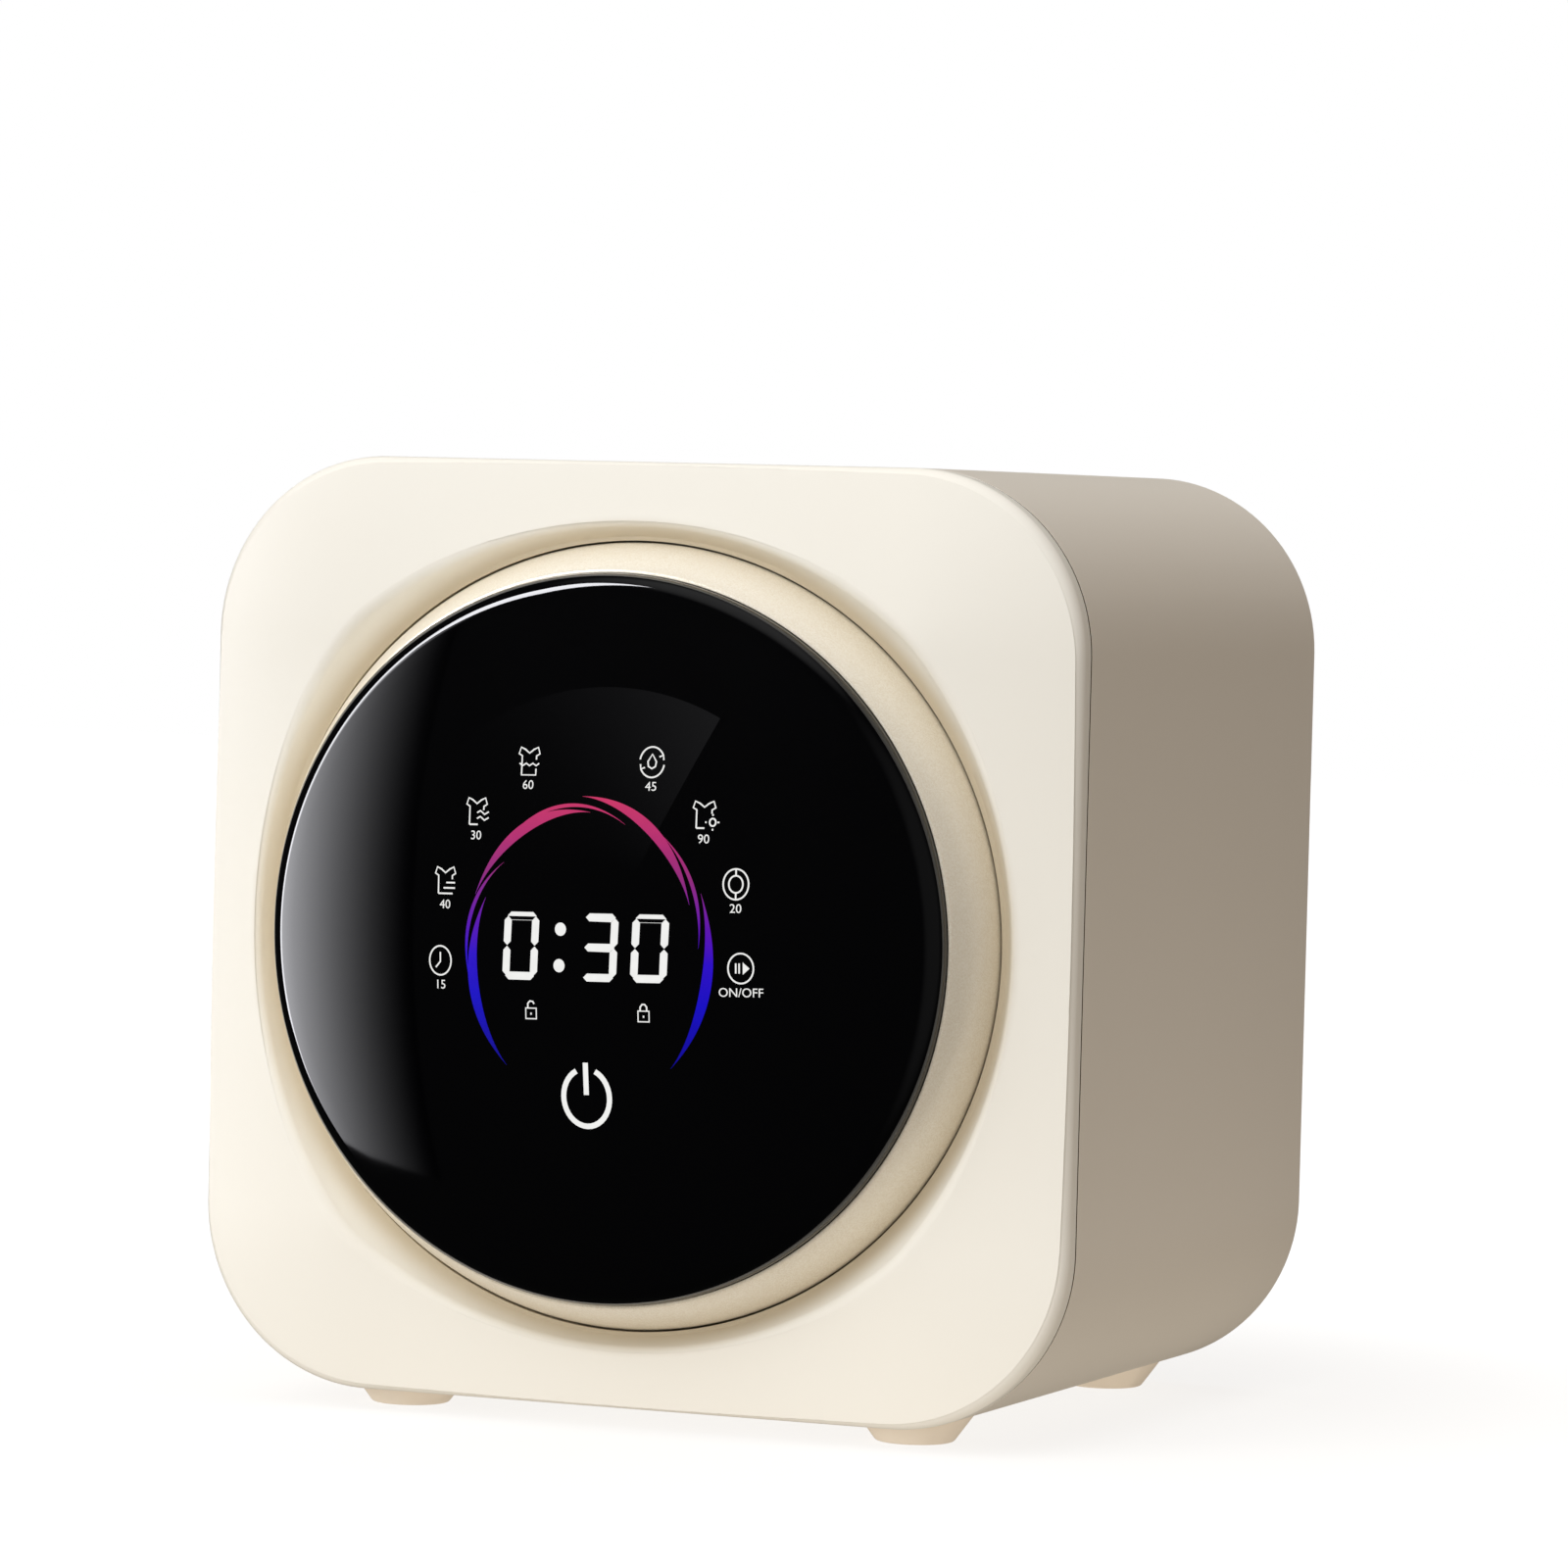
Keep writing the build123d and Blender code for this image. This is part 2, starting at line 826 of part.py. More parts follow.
def glass_form(skin):
    """The solid under the glass's outer line, drawn in by a skin."""
    shoulder = glass_shoulder_round - skin
    dome = glass_dome_radius - skin
    half_turn = (math.pi / 2 + shoulder_lean) / 2
    base = (glass_radius - skin, ledge_depth)
    side_top = (glass_radius - skin, shoulder_depth)
    bend = point_at(shoulder_ring, shoulder_depth, shoulder, half_turn)
    joint = point_at(shoulder_ring, shoulder_depth, shoulder, shoulder_lean)
    halfway = point_at(0, dome_centre, dome, shoulder_lean / 2)
    crown = (0, dome_centre - dome)
    outline = Line(base, side_top) + ThreePointArc(side_top, bend, joint)
    outline += ThreePointArc(joint, halfway, crown) + Polyline(crown, (0, ledge_depth), base)
    return revolve(make_face(outline), Axis.Y)


def door_glass():
    """The domed cover glass with its turned-down edge."""
    return glass_form(0) - glass_form(glass_wall)


def display_carrier():
    """The dark plate behind the glass that carries the touch board."""
    carrier = rod(carrier_radius, carrier_depth, carrier_depth + carrier_wall)
    carrier += pipe(carrier_radius, carrier_radius - carrier_wall, carrier_depth, ledge_depth)
    for place in ring_places(board_post_ring, board_post_count, 180 / board_post_count):
        carrier += place * rod(board_post_radius, board_back, carrier_depth)
    return carrier


def touch_board():
    """The round touch board on the carrier's posts."""
    return rod(board_radius, board_front, board_back)


def display_module():
    """The figure display in front of the touch board."""
    outline = RectangleRounded(display_width, display_height, display_round)
    return slab(outline, board_front - display_thickness, board_front)


def arm_screw_points():
    """Where the hinge arm is screwed to the door's back, as X and Z."""
    x = hinge_x + (arm_reach + arm_pad_end) / 2
    return [(x, -arm_half_height / 2), (x, arm_half_height / 2)]


def strike_screw_points():
    """Where the strike is screwed to the door's back, as X and Z."""
    half_foot = strike_foot / 2
    return [(strike_x - half_foot, 0), (strike_x + strike_wall + half_foot, 0)]


def door_inner_frame():
    """The ring-shaped tray that closes the door's back and carries bowl, hinge arm and strike."""
    back_wall = frame_depth - frame_wall
    chamfer_depth = skirt_depth + frame_flange_wall + frame_flange - frame_radius
    frame = turned(
        (bowl_mouth_radius, skirt_depth),
        (bowl_mouth_radius + frame_wall, skirt_depth),
        (bowl_mouth_radius + frame_wall, back_wall),
        (frame_radius - frame_wall, back_wall),
        (frame_radius - frame_wall, skirt_depth),
        (frame_flange, skirt_depth),
        (frame_flange, skirt_depth + frame_flange_wall),
        (frame_radius, chamfer_depth),
        (frame_radius, frame_depth),
        (bowl_mouth_radius, frame_depth),
    )
    for place in door_screw_places():
        frame += place * rod(door_screw_radius + door_boss_wall, skirt_depth, back_wall)
        frame -= place * rod(door_screw_radius, skirt_depth - past, frame_depth + past)
    for point in arm_screw_points() + strike_screw_points():
        frame -= rod(door_screw_radius, back_wall - past, frame_depth + past, *point)
    return frame


def door_frame_screws():
    """The screws that hold the door's back to its ring."""
    screw = pan_screw(door_screw_radius, door_screw_head, door_screw_head_height, door_screw_length)
    screw = Pos(0, frame_depth, 0) * turned_back(screw)
    return Part() + [place * screw for place in door_screw_places()]


def bowl_form(skin, mouth):
    """The bowl's outer form, drawn in by a skin, from its mouth to its closed end."""
    wide = (bowl_mouth_radius - fit_gap - skin, mouth)
    turn = (bowl_end_radius - skin, bowl_end_depth - skin)
    section = make_face(Polyline((0, mouth), wide, turn, (0, turn[1]), close=True))
    return revolve(fillet(corner_of(section, *turn), bowl_round - skin), Axis.Y)


def door_bowl():
    """The clear bowl that fills the tub's mouth and keeps the washing off the gasket."""
    front = skirt_depth - bowl_flange_wall
    bowl = bowl_form(0, front) + rod(bowl_mouth_radius + bowl_flange, front, skirt_depth)
    return bowl - bowl_form(bowl_wall, front - past)


# Hinge


def upright(points, low, high):
    """An outline of X and depth points, filled between two heights."""
    outline = make_face(Polyline(*points, close=True))
    return extrude(Plane.XY.offset(low) * outline, amount=high - low)


def hinge_arm():
    """The goose-neck arm, from its knuckle round the panel's edge to a pad on the door's back."""
    inner = arm_side - arm_wall
    pad_front = frame_depth - hinge_depth
    points = [
        (-arm_side, 0),
        (-arm_side, arm_back),
        (arm_reach, arm_back),
        (arm_reach, pad_front + arm_wall),
        (arm_pad_end, pad_front + arm_wall),
        (arm_pad_end, pad_front),
        (arm_reach - arm_wall, pad_front),
        (arm_reach - arm_wall, arm_back - arm_wall),
        (-inner, arm_back - arm_wall),
        (-inner, 0),
    ]
    arm = Pos(hinge_x, hinge_depth, 0) * upright(points, -arm_half_height, arm_half_height)
    arm += post(knuckle_radius, -arm_half_height, arm_half_height, hinge_x, hinge_depth)
    bore_half = arm_half_height + past
    arm -= post(hinge_pin_radius + hinge_pin_gap, -bore_half, bore_half, hinge_x, hinge_depth)
    pad_rear = frame_depth + arm_wall
    for point in arm_screw_points():
        arm -= rod(door_screw_radius, frame_depth - past, pad_rear + past, *point)
        arm -= rod(door_screw_head, pad_rear - flush_head_depth, pad_rear + past, *point)
    return arm


def flush_screw(rear, x, z):
    """A screw with a flush head at a depth, driven from behind into the door's back."""
    head = rod(door_screw_head, rear - flush_head_depth, rear, x, z)
    shank = rod(door_screw_radius, frame_depth - 2 * frame_wall, rear - flush_head_depth, x, z)
    xs = (x - door_screw_head, x + door_screw_head)
    zs = (z - flush_slot_width / 2, z + flush_slot_width / 2)
    return head + shank - brick(xs, (rear - flush_head_depth / 2, rear + past), zs)


def door_fitting_screws():
    """Flush screws through the hinge arm's pad and the strike's foot."""
    screws = [flush_screw(frame_depth + arm_wall, *point) for point in arm_screw_points()]
    screws += [flush_screw(frame_depth + strike_foot_wall, *point) for point in strike_screw_points()]
    return Part() + screws


def hinge_bracket():
    """Two ears that hold the hinge pin, joined behind the arm, with tabs against the seat's back."""
    left = hinge_x - ear_margin
    right = hinge_x + ear_margin
    rear = hinge_depth + arm_back + swing_gap
    outer = hinge_x + tab_outer
    points = [
        (left, hinge_depth - ear_nose),
        (right, hinge_depth - ear_nose),
        (right, seat_back),
        (outer, seat_back),
        (outer, rear),
        (left, rear),
    ]
    ear = upright(points, ear_inner, ear_outer)
    tab_z = (ear_inner, ear_outer + tab_reach)
    ear += brick((hinge_x + tab_inner, outer), (seat_back, seat_back + tab_wall), tab_z)
    bracket = ear + mirror(ear, about=Plane.XY)
    bracket += brick((left, outer), (rear, rear + ear_wall), (-ear_outer, ear_outer))
    bracket -= post(hinge_pin_radius, -ear_outer - past, ear_outer + past, hinge_x, hinge_depth)
    for point in bracket_screw_points():
        bracket -= rod(cover_screw_radius, seat_back - past, seat_back + tab_wall + past, *point)
    return bracket


def hinge_pin():
    """The steel pin through both ears and the arm's knuckle."""
    half_length = ear_outer + pin_end
    return post(hinge_pin_radius, -half_length, half_length, hinge_x, hinge_depth)


# Latch


def door_strike():
    """The steel tongue on the door's back, with the window that the lock's bolt enters."""
    right = strike_x + strike_wall
    half = strike_half_height
    tongue = brick((strike_x, right), (frame_depth, strike_end_depth), (-half, half))
    tongue = fillet(tongue.edges().filter_by(Axis.X).group_by(Axis.Y)[-1], half / 2)
    rear = frame_depth + strike_foot_wall
    tongue += brick((strike_x - strike_foot, right + strike_foot), (frame_depth, rear), (-half, half))
    window = strike_window / 2
    window_y = (bolt_depth - window, bolt_depth + window)
    tongue -= brick((strike_x - past, right + past), window_y, (-window, window))
    for point in strike_screw_points():
        tongue -= rod(door_screw_radius, frame_depth - past, rear + past, *point)
        tongue -= rod(door_screw_head, rear - flush_head_depth, rear + past, *point)
    return tongue


def door_lock():
    """The lock's housing behind the seat, with the bore that guides its bolt."""
    end = lock_left + bolt_tip_gap + bolt_length + bolt_end_gap
    ys = (seat_back, seat_back + lock_length)
    housing = brick((lock_left, lock_left + lock_width), ys, (-lock_half_height, lock_half_height))
    housing = fillet(housing.edges().filter_by(Axis.X).group_by(Axis.Y)[-1], lock_round)
    return housing - cross_rod(bolt_radius + bolt_gap, lock_left - past, end, bolt_depth, 0)


def lock_bolt():
    """The round bolt, drawn back into the lock."""
    left = lock_left + bolt_tip_gap
    bolt = cross_rod(bolt_radius, left, left + bolt_length, bolt_depth, 0)
    return chamfer(bolt.faces().sort_by(Axis.X)[0].edges(), bolt_chamfer)


# Gasket


def door_gasket():
    """The rubber bellows between the panel's seat and the tub's neck."""
    front = frame_depth + gasket_front_gap
    outer = seat_radius + gasket_bead
    inner = seat_radius - gasket_wall
    cuff = tub_neck_radius + tub_wall
    web_front = gasket_web_depth - gasket_wall
    web_rear = gasket_web_depth + gasket_wall
    return turned(
        (outer, front),
        (outer, seat_depth),
        (seat_radius, seat_depth),
        (seat_radius, seat_back),
        (outer, seat_back),
        (outer, seat_back + gasket_wall),
        (seat_radius, seat_back + gasket_wall),
        (seat_radius, gasket_web_depth),
        (cuff + gasket_wall, web_rear),
        (cuff + gasket_wall, tub_front_depth),
        (cuff, tub_front_depth),
        (cuff, web_rear - gasket_wall),
        (inner, web_front),
        (inner, front + gasket_wall),
        (inner - gasket_lip, front + gasket_wall / 2),
        (inner - gasket_lip, front),
    )


# Tub


def tub_screw_places():
    """Places of the screws round the tub's flange."""
    return ring_places(tub_screw_ring, tub_screw_count, 180 / tub_screw_count)


def fill_direction():
    """The angle from X towards Z at which water enters the tub, in degrees."""
    return math.degrees(math.atan2(valve_z, valve_x))


def tub_front():
    """The tub's front half: neck, front wall, half the cylinder, flange, fill stub and air stub."""
    neck_outer = tub_neck_radius + tub_wall
    margin = fan_wall + fit_gap
    tub = turned(
        (tub_neck_radius, tub_front_depth - tub_neck_length),
        (neck_outer, tub_front_depth - tub_neck_length),
        (neck_outer, tub_front_depth),
        (tub_radius, tub_front_depth),
        (tub_radius, flange_front),
        (tub_flange_radius, flange_front),
        (tub_flange_radius, tub_joint_depth),
        (tub_neck_radius, tub_joint_depth),
    )
    nozzle_end = tub_radius + fill_nozzle_length
    stub_top = duct_low + duct_overlap
    stub_cut = (duct_stub_low - past, stub_top + past)
    drop = (duct_front, duct_drop_rear)
    angle = fill_direction()
    tub += radial_bar(fill_nozzle_radius, tub_neck_radius, nozzle_end, angle, fill_depth)
    tub += duct_bar(margin, drop, (duct_stub_low, stub_top))
    tub -= rod(tub_inner, tub_front_depth + tub_wall, tub_joint_depth + past)
    tub -= radial_bar(fill_nozzle_bore, tub_neck_radius - past, nozzle_end + past, angle, fill_depth)
    tub -= duct_bar(margin + tub_wall / 2, drop, stub_cut)
    for place in tub_screw_places():
        tub -= place * rod(tub_screw_radius, flange_front - past, tub_joint_depth + past)
    return tub


def sump_box(skin, top):
    """The trough under the tub, drawn in by a skin."""
    half = sump_half_width - skin
    return brick((-half, half), (sump_front + skin, sump_rear - skin), (skin - sump_floor, top))


def mount_pads():
    """The four blocks on the tub's sides that its rubber bushes bear on."""
    pad_z = (-mount_half_size, mount_half_size)
    pad = brick((tub_neck_radius, mount_pad_x), (mount_front, mount_rear), pad_z)
    pads = Pos(0, 0, mount_height) * pad + Pos(0, 0, -mount_height) * pad
    return pads + mirror(pads, about=Plane.YZ)


def motor_lug_points():
    """Where the motor's plate is screwed to the tub, as X and Z."""
    middle = math.degrees(math.atan2(motor_z, motor_x))
    angles = [math.radians(middle + side * motor_lug_spread) for side in (-1, 1)]
    return [(motor_lug_ring * math.cos(angle), motor_lug_ring * math.sin(angle)) for angle in angles]


def tub_rear():
    """The tub's rear half: flange, cylinder, sump, ribbed back wall and bearing hub."""
    nozzle_end = sump_half_width + sump_nozzle_length
    tub = rod(tub_radius, tub_joint_depth, tub_back_outer)
    tub += rod(tub_flange_radius, tub_joint_depth, flange_rear)
    tub += sump_box(0, -tub_neck_radius)
    tub += mount_pads()
    tub += cross_rod(sump_nozzle_radius, 0, nozzle_end, sump_nozzle_depth, -sump_nozzle_height)
    tub += rod(hub_radius, tub_back_depth, hub_rear)
    rib_y = (tub_back_outer, tub_back_outer + tub_rib_height)
    rib = brick((hub_radius - tub_wall, tub_inner), rib_y, (-tub_rib_wall / 2, tub_rib_wall / 2))
    tub += [round_about(360 * k / tub_rib_count) * rib for k in range(tub_rib_count)]
    for x, z in motor_lug_points():
        tub += rod(motor_lug_radius, tub_back_outer, motor_rear, x, z)
        tub -= rod(tub_screw_radius, tub_back_outer, motor_rear + past, x, z)
    tub -= rod(tub_inner, tub_joint_depth - past, tub_back_depth)
    tub -= sump_box(tub_wall, -tub_neck_radius + past)
    bore = (sump_half_width - tub_wall - past, nozzle_end + past)
    tub -= cross_rod(sump_nozzle_radius - sump_nozzle_wall, *bore, sump_nozzle_depth, -sump_nozzle_height)
    tub -= rod(bearing_radius, tub_back_depth - past, bearing_end)
    tub -= rod(bearing_radius - bearing_shoulder, bearing_end - past, hub_rear + past)
    tub -= rod(bearing_radius, bearing_end + bearing_spacing, hub_rear + past)
    for place in tub_screw_places():
        tub -= place * rod(tub_screw_radius, tub_joint_depth - past, flange_rear + past)
    for x in (-heater_half_width, heater_half_width):
        tub -= rod(heater_rod_radius, sump_rear - tub_wall - past, sump_rear + past, x, -heater_height)
    return tub


def tub_screws():
    """The screws round the tub's flange."""
    length = 2 * tub_flange_wall + tub_screw_tail
    screw = pan_screw(tub_screw_radius, tub_screw_head, tub_screw_head_height, length)
    return Part() + [place * Pos(0, flange_front, 0) * screw for place in tub_screw_places()]


def tub_mounts():
    """Four rubber bushes between the tub's pads and the casing's sides."""
    depth = (mount_front + mount_rear) / 2
    bush = cross_rod(mount_bush_radius, mount_pad_x, half_width - shell_wall, depth, mount_height)
    pair = bush + mirror(bush, about=Plane.XY)
    return pair + mirror(pair, about=Plane.YZ)


def wash_heater():
    """The hairpin water heater in the sump, on a flange at its back."""
    bend = heater_front + heater_half_width
    left = (-heater_half_width, bend)
    right = (heater_half_width, bend)
    hairpin = Line((-heater_half_width, sump_rear), left) + ThreePointArc(left, (0, heater_front), right)
    hairpin = Pos(0, 0, -heater_height) * (hairpin + Line(right, (heater_half_width, sump_rear)))
    end = Pos(-heater_half_width, -heater_height) * Circle(heater_rod_radius)
    heater = sweep(at_depth(sump_rear) * end, path=hairpin)
    flange_width = 2 * (heater_half_width + heater_flange_margin)
    outline = RectangleRounded(flange_width, 2 * heater_flange_half_height, heater_rod_radius)
    tab_front = sump_rear + heater_flange_wall
    heater += slab(Pos(0, -heater_height) * outline, sump_rear, tab_front)
    for x in (-heater_half_width, heater_half_width):
        xs = (x - heater_tab_half_wall, x + heater_tab_half_wall)
        zs = (-heater_height - heater_tab_half_height, -heater_height + heater_tab_half_height)
        heater += brick(xs, (tab_front, tab_front + heater_tab_length), zs)
    return heater


# Shaft and bearings


def shaft_seal():
    """The lip seal in front of the bearings."""
    return pipe(bearing_radius, shaft_bore, tub_back_depth, tub_back_depth + seal_width)


def drum_bearings():
    """The two ball bearings of the drum's shaft, one each side of the hub's shoulder."""
    front = tub_back_depth + seal_width
    bearing = pipe(bearing_radius, shaft_bore, front, front + bearing_width)
    groove = (shaft_bore + bearing_radius) / 2
    rear = front + bearing_width
    groove_front = rear - bearing_shoulder / 2
    bearing -= pipe(groove + bearing_shoulder, groove - bearing_shoulder, groove_front, rear + past)
    return bearing + Pos(0, bearing_width + bearing_spacing, 0) * bearing


# Drum


def drum_shell():
    """The perforated cylinder of the drum."""
    shell = pipe(drum_radius, drum_inner, drum_front_depth, spider_front)
    pitch = (drum_back_depth - drum_front_depth) / (drum_hole_rows + 1)
    turn = 360 / drum_holes_round
    ends = (drum_inner - past, drum_radius + past)
    holes = []
    for row in range(drum_hole_rows):
        depth = drum_front_depth + pitch * (row + 1)
        for k in range(drum_holes_round):
            angle = turn * (k + row % 2 / 2)
            holes.append(radial_bar(drum_hole_radius, *ends, angle, depth))
    return shell - holes


def drum_front_ring():
    """The ring that closes the drum's front, with its inner edge rolled round."""
    ring = pipe(drum_inner, drum_mouth_radius, drum_front_depth, drum_front_depth + drum_wall)
    curl = Pos(drum_mouth_radius, drum_front_depth + drum_curl) * Circle(drum_curl)
    return ring + revolve(curl, Axis.Y)


def drum_back():
    """The drum's perforated back disc."""
    hole = rod(back_hole_radius, drum_back_depth - past, spider_front + past)
    holes = []
    for radius in back_hole_rings:
        count = int(2 * math.pi * radius / back_hole_pitch)
        holes += [place * hole for place in ring_places(radius, count)]
    return rod(drum_inner, drum_back_depth, spider_front) - holes


def lifter_prism(skin):
    """A lifter's tapered ridge before it is trimmed to the drum, drawn in by a skin."""
    base = drum_inner + past
    top = drum_inner - lifter_height + skin
    half_base = lifter_base / 2 - skin
    half_top = lifter_top / 2 - skin / 2
    corners = ((base, -half_base), (base, half_base), (top, half_top), (top, -half_top))
    outline = make_face(Polyline(*corners, close=True))
    tips = outline.vertices().group_by(Axis.X)[0]
    outline = fillet(tips, lifter_round - skin)
    front = drum_front_depth + lifter_margin + skin
    rear = drum_back_depth - lifter_rear_margin - skin
    return slab(outline, front, rear) & rod(drum_inner, front - past, rear + past)


def drum_lifters():
    """The hollow ridges inside the drum that lift the washing."""
    lifter = lifter_prism(0) - lifter_prism(lifter_wall)
    turn = 360 / lifter_count
    return Part() + [round_about(lifter_start + turn * k) * lifter for k in range(lifter_count)]


def drum_spider():
    """The cast star behind the drum that joins it to its shaft."""
    hub_end = spider_front + spider_hub_length
    hub = rod(spider_hub_radius, spider_front, hub_end)
    outline = make_face(
        Polyline(
            (0, -spider_arm_root / 2),
            (0, spider_arm_root / 2),
            (spider_reach, spider_arm_tip / 2),
            (spider_reach, -spider_arm_tip / 2),
            close=True,
        )
    )
    arm = slab(outline, spider_front, spider_front + spider_arm_wall)
    turn = 360 / spider_arm_count
    spider = hub + [round_about(spider_start + turn * k) * arm for k in range(spider_arm_count)]
    return spider - rod(shaft_radius, spider_front - past, hub_end + past)


def drum_shaft():
    """The steel shaft that carries the drum and its pulley."""
    shaft = rod(shaft_radius, spider_front, shaft_rear)
    return chamfer(shaft.faces().sort_by(Axis.Y)[-1].edges(), shaft_chamfer)


def belt_wheel(groove, hub_bore):
    """A flat-belt pulley's rim and body as a solid wheel."""
    flange = groove + pulley_flange
    wall = pulley_flange_wall
    return turned(
        (hub_bore, pulley_front),
        (flange, pulley_front),
        (flange, pulley_front + wall / 2),
        (groove, pulley_front + wall),
        (groove, pulley_rear - wall),
        (flange, pulley_rear - wall / 2),
        (flange, pulley_rear),
        (hub_bore, pulley_rear),
    )


def drum_pulley():
    """The drum's large pulley, with a thin web and round holes."""
    rim = pulley_groove_radius - pulley_rim_wall
    middle = (pulley_front + pulley_rear) / 2
    wheel = belt_wheel(pulley_groove_radius, shaft_radius)
    wheel -= pipe(rim, pulley_hub_radius, pulley_front - past, middle - pulley_web_wall / 2)
    wheel -= pipe(rim, pulley_hub_radius, middle + pulley_web_wall / 2, pulley_rear + past)
    hole_ring = (rim + pulley_hub_radius) / 2
    hole = rod(pulley_hole_radius, pulley_front, pulley_rear)
    return wheel - [place * hole for place in ring_places(hole_ring, pulley_hole_count)]


def drive_belt():
    """The flat belt round both pulleys."""
    loops = []
    for wall in (belt_gap + belt_wall, belt_gap):
        big = Circle(pulley_groove_radius + wall)
        small = Pos(motor_x, motor_z) * Circle(motor_pulley_radius + wall)
        loops.append(make_hull([big.edge(), small.edge()]))
    front = pulley_front + pulley_flange_wall + belt_side_gap
    rear = pulley_rear - pulley_flange_wall - belt_side_gap
    return slab(loops[0], front, rear) - slab(loops[1], front - past, rear + past)


# Motor


def motor_screw_points():
    """Where the motor is screwed to its plate, as X and Z."""
    reach = motor_screw_ring * math.sqrt(0.5)
    return [(motor_x - reach, motor_z + reach), (motor_x + reach, motor_z - reach)]


def motor():
    """The motor's can with its coil ring and end caps."""
    can = rod(motor_radius, motor_front, motor_rear, motor_x, motor_z)
    inside = motor_radius - motor_cap_wall
    core = motor_core_radius + motor_core_gap
    coil_front = motor_front + motor_cap_wall + motor_coil_gap
    coil_rear = motor_rear - motor_cap_wall - motor_coil_gap
    can -= rod(core, coil_front, coil_rear, motor_x, motor_z)
    can -= rod(inside, motor_front + motor_cap_wall, coil_front, motor_x, motor_z)
    can -= rod(inside, coil_rear, motor_rear - motor_cap_wall, motor_x, motor_z)
    bore = motor_shaft_radius + motor_shaft_gap
    can -= rod(bore, motor_front - past, motor_rear + past, motor_x, motor_z)
    for x, z in motor_screw_points():
        can -= rod(tub_screw_radius, motor_rear - motor_cap_wall - past, motor_rear + past, x, z)
    return can


def motor_bracket():
    """The plate that hangs the motor on the tub's back."""
    circles = [Pos(motor_x, motor_z) * Circle(motor_plate_radius)]
    circles += [Pos(x, z) * Circle(motor_lug_radius) for x, z in motor_lug_points()]
    plate_shape = slab(make_hull([circle.edge() for circle in circles]), motor_rear, plate_rear)
    plate_shape -= rod(motor_plate_hole, motor_rear - past, plate_rear + past, motor_x, motor_z)
    for x, z in motor_lug_points() + motor_screw_points():
        plate_shape -= rod(tub_screw_radius, motor_rear - past, plate_rear + past, x, z)
    return plate_shape


def machine_screws():
    """The screws of the motor's plate and of the hinge's bracket, driven from behind."""
    long_screw = pan_screw(tub_screw_radius, tub_screw_head, tub_screw_head_height, motor_screw_length)
    short = pan_screw(cover_screw_radius, cover_screw_head, cover_screw_head_height, tab_wall + seat_wall)
    motor_points = motor_lug_points() + motor_screw_points()
    screws = [Pos(x, plate_rear, z) * turned_back(long_screw) for x, z in motor_points]
    screws += [Pos(x, seat_back + tab_wall, z) * turned_back(short) for x, z in bracket_screw_points()]
    return Part() + screws


def motor_rotor():
    """The motor's core on its shaft."""
    coil_front = motor_front + motor_cap_wall + motor_coil_gap
    coil_rear = motor_rear - motor_cap_wall - motor_coil_gap
    rotor = rod(motor_shaft_radius, motor_front - motor_cap_wall, pulley_rear + motor_shaft_end)
    rotor += rod(motor_core_radius, coil_front, coil_rear)
    return Pos(motor_x, 0, motor_z) * rotor


def motor_pulley():
    """The small pulley on the motor's shaft."""
    return Pos(motor_x, 0, motor_z) * belt_wheel(motor_pulley_radius, motor_shaft_radius)


# Air drying unit


def duct_bar(skin, ys, zs):
    """A straight bar with the duct's width, drawn in by a skin on its sides and ends along Y."""
    return brick((duct_left + skin, duct_right - skin), (ys[0] + skin, ys[1] - skin), zs)


def blower_housing():
    """The fan's scroll with its outlet, inlet hole, hanging posts and motor below."""
    axis = (fan_x, fan_depth)
    inside = (fan_low + fan_wall, fan_high - fan_wall)
    outlet_x = (duct_left + fan_wall, duct_right - fan_wall)
    housing = post(fan_housing_radius, fan_low, fan_high, *axis)
    housing += brick((duct_left, duct_right), (duct_rear, fan_depth), (fan_low, fan_high))
    housing -= post(fan_housing_radius - fan_wall, *inside, *axis)
    housing -= brick(outlet_x, (duct_rear - past, fan_depth), inside)
    housing -= post(fan_inlet_radius, fan_high - fan_wall - past, fan_high + past, *axis)
    housing += post(fan_motor_radius, fan_low - fan_motor_height, fan_low, *axis)
    top = half_height - shell_wall
    for x, depth in ((fan_post_ring, 0), (0, fan_post_ring), (0, -fan_post_ring)):
        housing += post(fan_post_radius, fan_high - fan_wall, top, fan_x + x, fan_depth + depth)
    bore = fan_shaft_radius + fan_shaft_gap
    return housing - post(bore, fan_low - fan_shaft_length - past, fan_low + fan_wall + past, *axis)


def blower_impeller():
    """The fan's wheel of leaning blades on its shaft."""
    low = fan_low + fan_wall + fan_gap
    high = fan_high - fan_wall - fan_gap
    wheel = post(fan_radius, low, low + fan_plate, 0, 0)
    wheel += post(fan_hub_radius, low, (low + high) / 2, 0, 0)
    blade_y = (-fan_blade_wall / 2, fan_blade_wall / 2)
    blade = brick((fan_inner_radius, fan_radius - fan_plate / 2), blade_y, (low, high))
    middle = (fan_inner_radius + fan_radius) / 2
    blade = Pos(middle, 0, 0) * Rot(0, 0, fan_blade_lean) * Pos(-middle, 0, 0) * blade
    wheel += [Rot(0, 0, 360 * k / fan_blades) * blade for k in range(fan_blades)]
    rim = post(fan_radius, high - fan_plate, high, 0, 0)
    wheel += rim - post(fan_inner_radius, high - fan_plate - past, high + past, 0, 0)
    wheel += post(fan_shaft_radius, fan_low - fan_shaft_length, low, 0, 0)
    return Pos(fan_x, fan_depth, 0) * wheel


